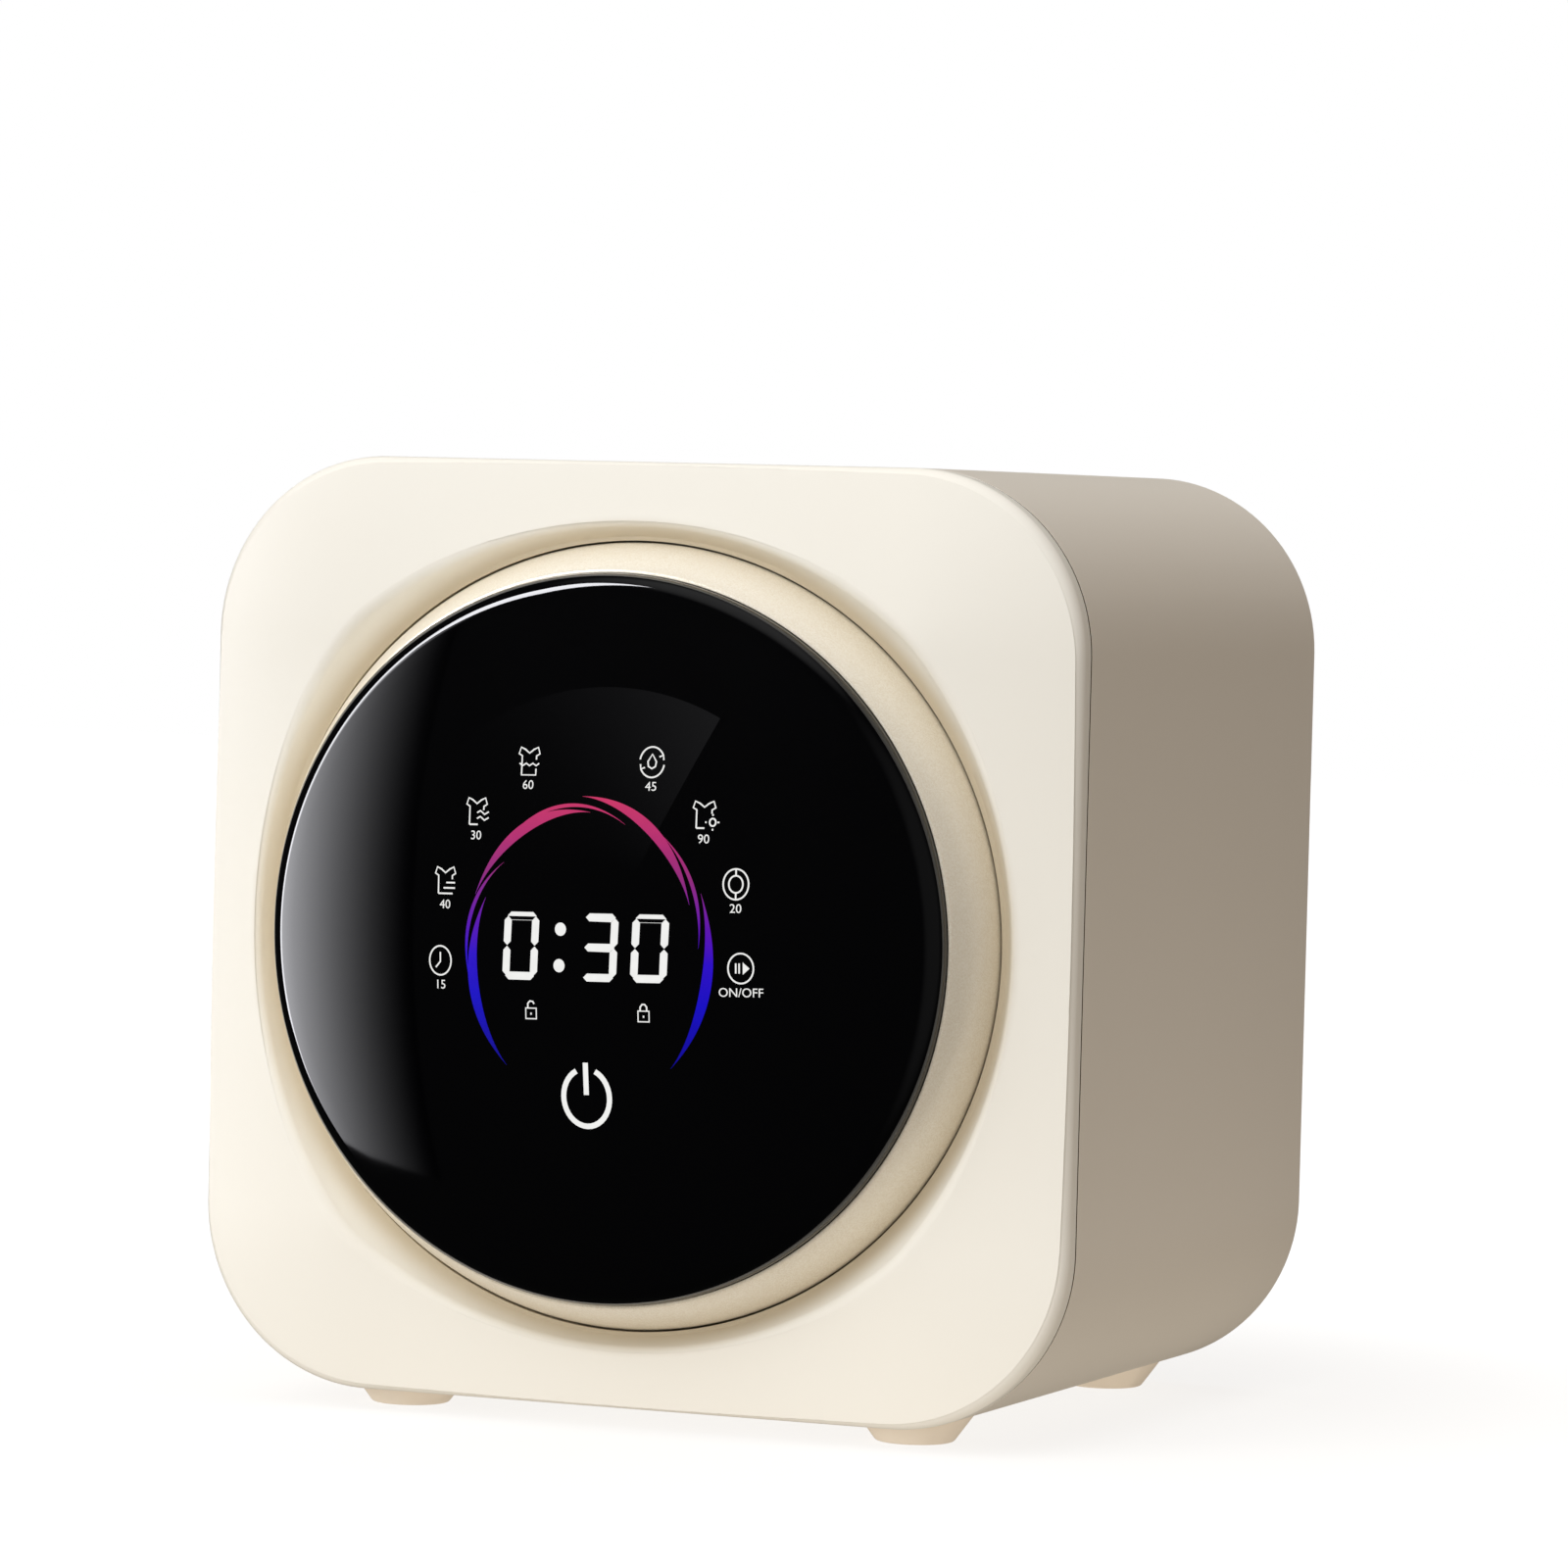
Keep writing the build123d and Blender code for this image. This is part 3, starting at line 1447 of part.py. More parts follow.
def air_duct():
    """The bent duct that leads air from the fan to the tub."""
    inside = (fan_low + fan_wall, fan_high - fan_wall)
    drop = (duct_front, duct_drop_rear)
    duct = brick((duct_left, duct_right), (duct_front, duct_rear), (fan_low, fan_high))
    duct += duct_bar(0, drop, (duct_low, fan_high))
    duct -= duct_bar(fan_wall, (duct_front, duct_rear + 2 * fan_wall), inside)
    return duct - duct_bar(fan_wall, drop, (duct_low - past, fan_high - fan_wall))


def air_heater():
    """The finned heater in the duct."""
    rear = air_heater_front + air_heater_length
    xs = (duct_left + fan_wall, duct_right - fan_wall)
    zs = (fan_low + fan_wall, fan_high - fan_wall)
    heater = brick(xs, (air_heater_front, rear), zs)
    clear = xs[1] - xs[0] - 2 * air_heater_frame
    width = (clear - (air_heater_slots - 1) * air_heater_fin) / air_heater_slots
    for k in range(air_heater_slots):
        left = xs[0] + air_heater_frame + k * (width + air_heater_fin)
        slot_z = (zs[0] + air_heater_frame, zs[1] - air_heater_frame)
        heater -= brick((left, left + width), (air_heater_front - past, rear + past), slot_z)
    return heater


# Drain


def drain_pump():
    """The pump's chamber with its inlet, tangential outlet and stand."""
    depth = sump_nozzle_depth
    z = -sump_nozzle_height
    inlet_left = pump_left - sump_nozzle_length
    pump = cross_rod(pump_chamber_radius, pump_left, pump_right, depth, z)
    pump += cross_rod(sump_nozzle_radius, inlet_left, pump_left, depth, z)
    pump += rod(pump_outlet_radius, depth, pump_outlet_end, pump_outlet_x, pump_outlet_z)
    half = pump_stand_half_width
    stand_z = (shell_wall - half_height, z)
    stand_y = (depth - pump_stand_half_length, depth + pump_stand_half_length)
    pump += brick((pump_outlet_x - half, pump_outlet_x + half), stand_y, stand_z)
    chamber = (pump_left + pump_wall, pump_right - pump_wall)
    inlet = (inlet_left - past, pump_left + pump_wall + past)
    outlet_bore = pump_outlet_radius - sump_nozzle_wall
    shaft_hole = (pump_right - pump_wall - past, pump_right + past)
    pump -= cross_rod(pump_chamber_radius - pump_wall, *chamber, depth, z)
    pump -= cross_rod(sump_nozzle_radius - sump_nozzle_wall, *inlet, depth, z)
    pump -= rod(outlet_bore, depth, pump_outlet_end + past, pump_outlet_x, pump_outlet_z)
    return pump - cross_rod(pump_shaft_radius + pump_shaft_gap, *shaft_hole, depth, z)


def pump_motor():
    """The pump's motor behind its chamber."""
    can = cross_rod(pump_motor_radius, pump_right, pump_right + pump_motor_length, 0, 0)
    can = chamfer(can.faces().sort_by(Axis.X)[-1].edges(), pump_motor_chamfer)
    bore = (pump_right - past, pump_right + pump_shaft_length + past)
    can -= cross_rod(pump_shaft_radius + pump_shaft_gap, *bore, 0, 0)
    return Pos(0, sump_nozzle_depth, -sump_nozzle_height) * can


def pump_impeller():
    """The pump's bladed wheel on its shaft."""
    back = pump_right - pump_wall - pump_shaft_radius
    front = back - pump_impeller_plate
    blade_x = (front - pump_blade_width, front)
    wheel = cross_rod(pump_impeller_radius, front, back, 0, 0)
    wheel += cross_rod(pump_impeller_hub, *blade_x, 0, 0)
    blade_z = (-pump_blade_wall / 2, pump_blade_wall / 2)
    blade = brick(blade_x, (0, pump_impeller_radius - pump_blade_wall / 2), blade_z)
    wheel += [Rot(360 * k / pump_blades, 0, 0) * blade for k in range(pump_blades)]
    wheel += cross_rod(pump_shaft_radius, back, pump_right + pump_shaft_length, 0, 0)
    return Pos(0, sump_nozzle_depth, -sump_nozzle_height) * wheel


def sump_hose():
    """The ribbed hose from the sump to the pump."""
    left = sump_half_width + sump_nozzle_length - hose_overlap
    right = pump_left - sump_nozzle_length + hose_overlap
    bore = sump_nozzle_radius
    hose = cross_rod(bore + hose_wall, left, right, 0, 0)
    ribs = int((right - left) / hose_rib_pitch) - 1
    for k in range(ribs):
        middle = (left + right) / 2 + (k - (ribs - 1) / 2) * hose_rib_pitch
        rib = (middle - hose_rib_width / 2, middle + hose_rib_width / 2)
        hose += cross_rod(bore + hose_wall + hose_rib, *rib, 0, 0)
    hose -= cross_rod(bore, left - past, right + past, 0, 0)
    return Pos(0, sump_nozzle_depth, -sump_nozzle_height) * hose


def drain_hose():
    """The hose from the pump to the spigot on the back."""
    front = pump_outlet_end - hose_overlap
    rear = cover_front - spigot_flange_wall - spigot_tail + hose_overlap
    outer = pump_outlet_radius + hose_wall
    return pipe(outer, pump_outlet_radius, front, rear, pump_outlet_x, pump_outlet_z)


def drain_spigot():
    """The drain connection through the rear cover, with an inner stub for the hose."""
    flange_depth = cover_front - spigot_flange_wall
    rear = cover_rear + spigot_length
    spigot = rod(spigot_radius, cover_front, rear)
    spigot = chamfer(spigot.faces().sort_by(Axis.Y)[-1].edges(), spigot_chamfer)
    spigot += rod(spigot_radius + spigot_shoulder, cover_front, cover_rear)
    spigot += rod(pump_outlet_radius, flange_depth - spigot_tail, flange_depth)
    spigot += rod(spigot_flange, flange_depth, cover_front)
    bore = pump_outlet_radius - sump_nozzle_wall
    spigot -= rod(bore, flange_depth - spigot_tail - past, rear + past)
    return Pos(pump_outlet_x, 0, pump_outlet_z) * spigot


# Fill


def inlet_valve():
    """The water valve: threaded stub through the rear cover, body, coil and outlet."""
    rear = cover_rear + thread_length
    body_rear = cover_front - valve_bracket_wall
    body_front = body_rear - valve_length
    middle = (body_front + body_rear) / 2
    half = valve_half_size
    valve = rod(thread_radius, body_rear, rear)
    valve = chamfer(valve.faces().sort_by(Axis.Y)[-1].edges(), thread_chamfer)
    valve += rod(thread_radius + thread_shoulder, body_rear, cover_rear)
    bracket = RectangleRounded(2 * valve_bracket, 2 * valve_bracket, valve_bracket_wall)
    valve += slab(bracket, body_rear, cover_front)
    valve += brick((-half, half), (body_front, body_rear), (-half, half))
    valve += post(coil_radius, 0, half + coil_height, 0, middle)
    valve += rod(fill_nozzle_radius, body_front - fill_nozzle_length, body_front)
    valve -= rod(thread_bore, middle, rear + past)
    valve -= rod(fill_nozzle_bore, body_front - fill_nozzle_length - past, middle)
    return Pos(valve_x, 0, valve_z) * valve


def fill_hose():
    """The hose from the valve forward and round into the tub's fill stub."""
    reach = math.hypot(valve_x, valve_z)
    start = cover_front - valve_bracket_wall - valve_length - fill_nozzle_length + hose_overlap
    turn_depth = fill_depth + fill_hose_bend
    turn_end = reach - fill_hose_bend
    end = tub_radius + fill_nozzle_length - hose_overlap
    slant = fill_hose_bend * math.sqrt(0.5)
    middle = (turn_end + slant, turn_depth - slant)
    bend_start = (reach, turn_depth)
    bend_end = (turn_end, fill_depth)
    path = Line((reach, start), bend_start) + ThreePointArc(bend_start, middle, bend_end)
    path += Line(bend_end, (end, fill_depth))
    ring = Circle(fill_nozzle_radius + hose_wall) - Circle(fill_nozzle_radius)
    section = at_depth(start) * Pos(reach, 0) * ring
    return round_about(fill_direction()) * sweep(section, path=path)


# Electrics


def control_tray():
    """The open tray that hangs the control board under the casing's top."""
    high = tray_low + tray_side
    tray = brick((tray_left, tray_right), (tray_front, tray_rear), (tray_low, high))
    inner_x = (tray_left + tray_wall, tray_right - tray_wall)
    inner_y = (tray_front + tray_wall, tray_rear - tray_wall)
    tray -= brick(inner_x, inner_y, (tray_low + tray_wall, high + past))
    shelf = tray_low + tray_wall + circuit_rise
    for x in (tray_left + tray_post, tray_right - tray_post):
        for depth in (tray_front + tray_post, tray_rear - tray_post):
            tray += post(tray_post, tray_low, half_height - shell_wall, x, depth)
            tray += post(tray_post + circuit_margin, tray_low, shelf, x, depth)
    return tray


def control_board():
    """The control board with its relays, capacitor, transformer and connectors."""
    margin = tray_wall + circuit_margin / 2
    low = tray_low + tray_wall + circuit_rise
    top = low + circuit_wall
    board_y = (tray_front + margin, tray_rear - margin)
    board = brick((tray_left + margin, tray_right - margin), board_y, (low, top))
    relay_x = (tray_left + relay_inset, tray_left + relay_inset + relay_width)
    terminal_x = (tray_right - terminal_inset - terminal_width, tray_right - terminal_inset)
    for k in range(relay_count):
        front = tray_front + relay_pitch * (k + 1)
        board += brick(relay_x, (front, front + relay_length), (top, top + relay_height))
        board += brick(terminal_x, (front, front + terminal_length), (top, top + terminal_height))
    middle = (tray_left + tray_right) / 2
    board += post(capacitor_radius, top, top + capacitor_height, middle, tray_rear - capacitor_inset)
    left = tray_left + transformer_left
    front = tray_front + transformer_front
    transformer_y = (front, front + transformer_length)
    board += brick((left, left + transformer_width), transformer_y, (top, top + transformer_height))
    for x in (tray_left + tray_post, tray_right - tray_post):
        for depth in (tray_front + tray_post, tray_rear - tray_post):
            board -= post(tray_post, low - past, top + past, x, depth)
    return board


def power_gland():
    """The gland in the rear cover that the mains cord passes through."""
    nut_front = cover_front - gland_nut_wall
    nose_front = cover_rear + gland_flange_wall
    nose_rear = cover_rear + gland_nose
    gland = rod(gland_radius, cover_front - gland_tail, nose_front)
    gland += rod(gland_flange, cover_rear, nose_front)
    gland += slab(RegularPolygon(gland_flange, 6), nut_front, cover_front)
    nose = ((gland_radius, nose_front), (gland_nose_radius, nose_rear))
    gland += turned((0, nose_front), *nose, (0, nose_rear))
    gland -= rod(gland_bore, cover_front - gland_tail - past, nose_rear + past)
    return Pos(gland_x, 0, gland_z) * gland


makers = (
    front_panel,
    side_casing,
    rear_cover,
    rear_cover_screws,
    foot_screws,
    hinge_bracket,
    hinge_pin,
    door_lock,
    machine_screws,
    door_gasket,
    tub_front,
    tub_rear,
    tub_screws,
    tub_mounts,
    shaft_seal,
    drum_bearings,
    wash_heater,
    motor,
    motor_bracket,
    drive_belt,
    blower_housing,
    air_duct,
    air_heater,
    drain_pump,
    pump_motor,
    sump_hose,
    drain_hose,
    drain_spigot,
    inlet_valve,
    fill_hose,
    control_tray,
    control_board,
    power_gland,
    door_ring,
    door_glass,
    display_carrier,
    touch_board,
    display_module,
    door_inner_frame,
    door_frame_screws,
    door_bowl,
    hinge_arm,
    door_fitting_screws,
    door_strike,
    lock_bolt,
    drum_shell,
    drum_front_ring,
    drum_back,
    drum_lifters,
    drum_spider,
    drum_shaft,
    drum_pulley,
    motor_rotor,
    motor_pulley,
    blower_impeller,
    pump_impeller,
)

nodes = {make.__name__: make() for make in makers}
nodes.update(feet())
os.makedirs("parts", exist_ok=True)
for name, shape in nodes.items():
    export_step(Pos(*origin_shift) * shape, f"parts/{name}.step")
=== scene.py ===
"""Looks of a small front-loading washing machine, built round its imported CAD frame."""

import json
import logging
import math
from collections.abc import Callable, Iterable, Iterator, Sequence
from contextlib import contextmanager
from dataclasses import dataclass, field
from enum import Enum

import bpy
from mathutils import Matrix, Vector

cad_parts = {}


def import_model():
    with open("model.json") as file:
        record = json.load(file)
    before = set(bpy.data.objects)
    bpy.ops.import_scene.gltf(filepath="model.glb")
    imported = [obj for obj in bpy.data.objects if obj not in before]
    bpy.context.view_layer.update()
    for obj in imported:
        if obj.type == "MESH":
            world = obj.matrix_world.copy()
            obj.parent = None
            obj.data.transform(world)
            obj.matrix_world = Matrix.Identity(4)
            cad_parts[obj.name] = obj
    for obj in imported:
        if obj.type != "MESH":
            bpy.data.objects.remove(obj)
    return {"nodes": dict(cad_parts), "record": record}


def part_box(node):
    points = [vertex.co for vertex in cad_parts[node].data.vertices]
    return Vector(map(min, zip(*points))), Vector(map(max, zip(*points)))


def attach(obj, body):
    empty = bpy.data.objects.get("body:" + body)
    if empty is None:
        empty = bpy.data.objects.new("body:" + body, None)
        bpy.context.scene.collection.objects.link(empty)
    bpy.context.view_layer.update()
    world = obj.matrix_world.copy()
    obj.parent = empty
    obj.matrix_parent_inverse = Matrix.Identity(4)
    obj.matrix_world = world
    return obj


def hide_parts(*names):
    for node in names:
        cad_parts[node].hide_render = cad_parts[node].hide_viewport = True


LOG = logging.getLogger("washing_machine")
MM = 0.001
# The door's axis above the ground, in metres
AXIS_HEIGHT = 0.189
WHITE = (1.0, 1.0, 1.0, 1.0)
# How many finer layers the patches, the grain and the flow lines have
PATCH_LAYERS = 3.0
GRAIN_LAYERS = 2.0
PATCH_ROUGHNESS = 0.6

Piece = bpy.types.Object
Tree = bpy.types.NodeTree
Node = bpy.types.Node
Socket = bpy.types.NodeSocket
Flat = tuple[float, float]
Point = tuple[float, float, float]
Box = tuple[Point, Point]
Section = Callable[[float], Point]
Stroke = list[Flat]
Rounding = tuple[float, int]


def hex_to_linear(colour: str) -> tuple[float, float, float, float]:
    """Turns an sRGB hex colour into linear light.

    Args:
        colour: The colour as six hex digits after a hash.

    Returns:
        Red, green and blue in linear light, and a fourth value of 1.
    """
    shares = [int(colour[i : i + 2], 16) / 255 for i in (1, 3, 5)]
    red, green, blue = [c / 12.92 if c <= 0.04045 else ((c + 0.055) / 1.055) ** 2.4 for c in shares]
    return red, green, blue, 1.0


def per_metre(size_mm: float) -> float:
    """The scale of a pattern whose cells are this many millimetres wide."""
    return 1.0 / (size_mm * MM)


def set_inputs(node: Node, inputs: dict) -> None:
    """Gives a node's inputs their values and links.

    Args:
        node: The node.
        inputs: For each input, by name or number, its value, the socket that feeds it, or the
            node whose first output in use feeds it.
    """
    for key, value in inputs.items():
        if isinstance(value, Node):
            value = next(output for output in value.outputs if output.enabled)
        if isinstance(value, Socket):
            node.id_data.links.new(value, node.inputs[key])
        else:
            node.inputs[key].default_value = value


def add_node(tree: Tree, kind: str, inputs: dict | None = None, **settings: object) -> Node:
    """Adds one node with its settings, values and links.

    Args:
        tree: The node tree that gets the node.
        kind: The node's type name.
        inputs: What its inputs get, as set_inputs takes it.
        **settings: Attributes to set on the node.

    Returns:
        The new node.
    """
    node = tree.nodes.new(kind)
    for key, value in settings.items():
        setattr(node, key, value)
    set_inputs(node, inputs or {})
    return node


def way_from_axis(tree: Tree, place: Socket, centre_x: float = 0.0) -> tuple[Node, Node]:
    """Measures from an axis that runs from front to back at the height of the door's.

    Args:
        tree: The material's nodes.
        place: The object coordinates.
        centre_x: Where the axis is across, in metres.

    Returns:
        The way from the axis, without depth, and its length.
    """
    axis = (centre_x, 0.0, AXIS_HEIGHT)
    offset = add_node(tree, "ShaderNodeVectorMath", {0: place, 1: axis}, operation="SUBTRACT")
    level = {0: offset, 1: (1.0, 0.0, 1.0)}
    flat = add_node(tree, "ShaderNodeVectorMath", level, operation="MULTIPLY")
    return flat, add_node(tree, "ShaderNodeVectorMath", {0: flat}, operation="LENGTH")


# Kinds of finish


class Pattern(Enum):
    """How a surface was made, which sets how its fine grain is drawn out along each axis."""

    MOULDED = (1.0, 1.0, 1.0)
    ROLLED = (0.25, 1.0, 1.0)


@dataclass(frozen=True)
class PaintedShade:
    """Painted shade on a part of a surface, laid as a second tone."""

    colour: str

    def share(self, tree: Tree, place: Socket) -> Node:
        """How much of the painted shade each point gets; each kind has its own way."""
        raise NotImplementedError

    def over(self, tree: Tree, place: Socket, under: Node) -> Node:
        """Lays the painted shade over the surface's own tone.

        Args:
            tree: The material's nodes.
            place: The object coordinates.
            under: The surface's own tone.

        Returns:
            The mixed tone.
        """
        tones = {"Factor": self.share(tree, place), "A": under, "B": hex_to_linear(self.colour)}
        return add_node(tree, "ShaderNodeMix", tones, data_type="RGBA")


@dataclass(frozen=True)
class PaintedConeShade(PaintedShade):
    """Painted warm shade and a painted reflection of the ring round the door's axis, full at an
    inner radius and gone at an outer one.
    """

    inner_mm: float
    outer_mm: float

    def share(self, tree: Tree, place: Socket) -> Node:
        """How much of the painted shade and reflection each point gets, by its distance from the
        axis.

        Args:
            tree: The material's nodes.
            place: The object coordinates.

        Returns:
            The share.
        """
        radius = way_from_axis(tree, place)[1]
        fade = {
            "Value": radius,
            "From Min": self.inner_mm * MM,
            "From Max": self.outer_mm * MM,
            "To Min": 1.0,
            "To Max": 0.0,
        }
        return add_node(tree, "ShaderNodeMapRange", fade, interpolation_type="SMOOTHSTEP")


@dataclass(frozen=True)
class PaintedJointShadow(PaintedShade):
    """Painted shadow in a narrow joint between two depths, in metres, where hardly any light gets
    in.
    """

    front: float
    rear: float

    def share(self, tree: Tree, place: Socket) -> Node:
        """All of the painted shadow between the two depths, and none elsewhere.

        Args:
            tree: The material's nodes.
            place: The object coordinates.

        Returns:
            The share.
        """
        depth = add_node(tree, "ShaderNodeSeparateXYZ", {"Vector": place}).outputs["Y"]
        middle, half = (self.front + self.rear) / 2, (self.rear - self.front) / 2
        return add_node(tree, "ShaderNodeMath", {0: depth, 1: middle, 2: half}, operation="COMPARE")


@dataclass(frozen=True)
class Finish:
    """A finish, named for the real material. Its own material is made once and shared."""

    name: str

    def look(self, tree: Tree, place: Socket) -> dict[str, object]:
        """What each of the shader's inputs gets; each kind of finish has its own."""
        raise NotImplementedError

    def material(self) -> bpy.types.Material:
        """Makes the material at its first use.

        Returns:
            The material.
        """
        material = bpy.data.materials.get(self.name)
        if not material:
            material = bpy.data.materials.new(self.name)
            material.use_nodes = True
            tree = material.node_tree
            place = add_node(tree, "ShaderNodeTexCoord").outputs["Object"]
            set_inputs(tree.nodes["Principled BSDF"], self.look(tree, place))
        return material


@dataclass(frozen=True)
class Surface(Finish):
    """An opaque surface: two close tones in large patches, and a fine grain in gloss and relief."""

    colour: str
    second: str
    roughness: float
    spread: float
    patch_mm: float
    grain_mm: float
    relief_mm: float
    metallic: float = 0.0
    specular: float = 0.5
    sheen: float = 0.0
    pattern: Pattern = Pattern.MOULDED
    painted_shade: PaintedShade | None = None

    def look(self, tree: Tree, place: Socket) -> dict[str, object]:
        """Mixes the tones and lets the grain vary gloss and relief.

        Args:
            tree: The material's nodes.
            place: The object coordinates.

        Returns:
            What each of the shader's inputs gets.
        """
        drawn = add_node(tree, "ShaderNodeMapping", {"Vector": place, "Scale": self.pattern.value})
        cloud = {
            "Vector": place,
            "Scale": per_metre(self.patch_mm),
            "Detail": PATCH_LAYERS,
            "Roughness": PATCH_ROUGHNESS,
        }
        fine = {"Vector": drawn, "Scale": per_metre(self.grain_mm), "Detail": GRAIN_LAYERS}
        patches = add_node(tree, "ShaderNodeTexNoise", cloud)
        grain = add_node(tree, "ShaderNodeTexNoise", fine)
        first, second = hex_to_linear(self.colour), hex_to_linear(self.second)
        tones = {"Factor": patches, "A": first, "B": second}
        tone = add_node(tree, "ShaderNodeMix", tones, data_type="RGBA")
        # Painted shade over the tones, where the finish has it
        if self.painted_shade:
            tone = self.painted_shade.over(tree, place, tone)
        low, high = self.roughness - self.spread, self.roughness + self.spread
        gloss = {"Value": grain, "To Min": low, "To Max": high}
        relief = {"Strength": 1.0, "Distance": self.relief_mm * MM, "Height": grain}
        return {
            "Base Color": tone,
            "Roughness": add_node(tree, "ShaderNodeMapRange", gloss),
            "Normal": add_node(tree, "ShaderNodeBump", relief),
            "Metallic": self.metallic,
            "Specular IOR Level": self.specular,
            "Sheen Weight": self.sheen,
        }


@dataclass(frozen=True)
class FlakePaint(Finish):
    """Satin paint with fine metal flakes under a clear coat, as sprayed on trim rings."""

    colour: str
    flake: str
    metallic: float
    flake_mm: float = 0.45
    roughness: float = 0.34
    spread: float = 0.06
    tilt: float = 0.25
    relief_mm: float = 0.02
    coat: float = 0.25
    coat_roughness: float = 0.12

    def look(self, tree: Tree, place: Socket) -> dict[str, object]:
        """Gives each flake its own tone, its own gloss and its own slight tilt.

        Args:
            tree: The material's nodes.
            place: The object coordinates.

        Returns:
            What each of the shader's inputs gets.
        """
        cell = {"Vector": place, "Scale": per_metre(self.flake_mm)}
        drawn = add_node(tree, "ShaderNodeTexVoronoi", cell).outputs["Color"]
        share = add_node(tree, "ShaderNodeSeparateColor", {"Color": drawn}).outputs
        low, high = self.roughness - self.spread, self.roughness + self.spread
        ends = {"A": hex_to_linear(self.colour), "B": hex_to_linear(self.flake)}
        gloss = {"Value": share["Green"], "To Min": low, "To Max": high}
        turn = {"Strength": self.tilt, "Distance": self.relief_mm * MM, "Height": share["Blue"]}
        tones = {"Factor": share["Red"], **ends}
        return {
            "Base Color": add_node(tree, "ShaderNodeMix", tones, data_type="RGBA"),
            "Roughness": add_node(tree, "ShaderNodeMapRange", gloss),
            "Normal": add_node(tree, "ShaderNodeBump", turn),
            "Metallic": self.metallic,
            "Coat Weight": self.coat,
            "Coat Roughness": self.coat_roughness,
        }


@dataclass(frozen=True)
class DialGlow:
    """A dim lit sector of the dial behind the glass, brightest at its first edge and its rim."""

    colour: str
    strength: float
    centre_x_mm: float
    hub_mm: float
    radius_mm: float
    full_degrees: float
    first_degrees: float
    last_degrees: float

    def light(self, tree: Tree, place: Socket) -> Node:
        """How strongly each point of the glass glows.

        Args:
            tree: The glass's nodes.
            place: The object coordinates.

        Returns:
            The glow's strength.
        """
        flat, radius = way_from_axis(tree, place, self.centre_x_mm * MM)
        way = add_node(tree, "ShaderNodeSeparateXYZ", {"Vector": flat}).outputs
        turn = add_node(tree, "ShaderNodeMath", {0: way["Z"], 1: way["X"]}, operation="ARCTAN2")
        full, first, last = (
            math.radians(angle)
            for angle in (self.full_degrees, self.first_degrees, self.last_degrees)
        )
        rim = self.radius_mm * MM
        fade = {
            "Value": turn,
            "From Min": full,
            "From Max": last,
            "To Min": self.strength,
            "To Max": 0.0,
        }
        rise = {"Value": radius, "From Min": self.hub_mm * MM, "From Max": rim}
        light = add_node(tree, "ShaderNodeMapRange", fade, interpolation_type="SMOOTHERSTEP")
        for share in (
            add_node(tree, "ShaderNodeMapRange", rise),
            add_node(tree, "ShaderNodeMath", {0: turn, 1: first}, operation="GREATER_THAN"),
            add_node(tree, "ShaderNodeMath", {0: radius, 1: rim}, operation="LESS_THAN"),
        ):
            light = add_node(tree, "ShaderNodeMath", {0: light, 1: share}, operation="MULTIPLY")
        return light


@dataclass(frozen=True)
class TintedGlass(Finish):
    """Toughened cover glass, printed black behind: deep black with clear, sharp reflections."""

    colour: str
    glow: DialGlow
    roughness: float = 0.03
    specular: float = 0.5
    mark_mm: float = 35.0

    def look(self, tree: Tree, place: Socket) -> dict[str, object]:
        """Lets a trace of wiping marks vary the gloss, and lights the dial behind.

        Args:
            tree: The material's nodes.
            place: The object coordinates.

        Returns:
            What each of the shader's inputs gets.
        """
        wiped = {
            "Vector": place,
            "Scale": per_metre(self.mark_mm),
            "Detail": 4.0,
            "Distortion": 0.6,
        }
        marks = add_node(tree, "ShaderNodeTexNoise", wiped)
        gloss = {"Value": marks, "To Min": self.roughness, "To Max": self.roughness * 2}
        return {
            "Base Color": hex_to_linear(self.colour),
            "Roughness": add_node(tree, "ShaderNodeMapRange", gloss),
            "Specular IOR Level": self.specular,
            "Emission Color": hex_to_linear(self.glow.colour),
            "Emission Strength": self.glow.light(tree, place),
        }


@dataclass(frozen=True)
class ClearPlastic(Finish):
    """Moulded clear polycarbonate: see-through, with a slight grey tint and faint flow lines."""

    colour: str
    roughness: float = 0.06
    flow_mm: float = 25.0
    relief_mm: float = 0.05
    relief_strength: float = 0.4
    clearness: float = 0.85
    ior: float = 1.58

    def look(self, tree: Tree, place: Socket) -> dict[str, object]:
        """Lets the flow lines vary gloss and relief.

        Args:
            tree: The material's nodes.
            place: The object coordinates.

        Returns:
            What each of the shader's inputs gets.
        """
        lines = {"Vector": place, "Scale": per_metre(self.flow_mm), "Detail": GRAIN_LAYERS}
        flow = add_node(tree, "ShaderNodeTexNoise", lines)
        gloss = {"Value": flow, "To Min": self.roughness / 2, "To Max": self.roughness * 1.5}
        relief = {
            "Strength": self.relief_strength,
            "Distance": self.relief_mm * MM,
            "Height": flow,
        }
        return {
            "Base Color": hex_to_linear(self.colour),
            "Roughness": add_node(tree, "ShaderNodeMapRange", gloss),
            "Normal": add_node(tree, "ShaderNodeBump", relief),
            "Transmission Weight": self.clearness,
            "IOR": self.ior,
        }


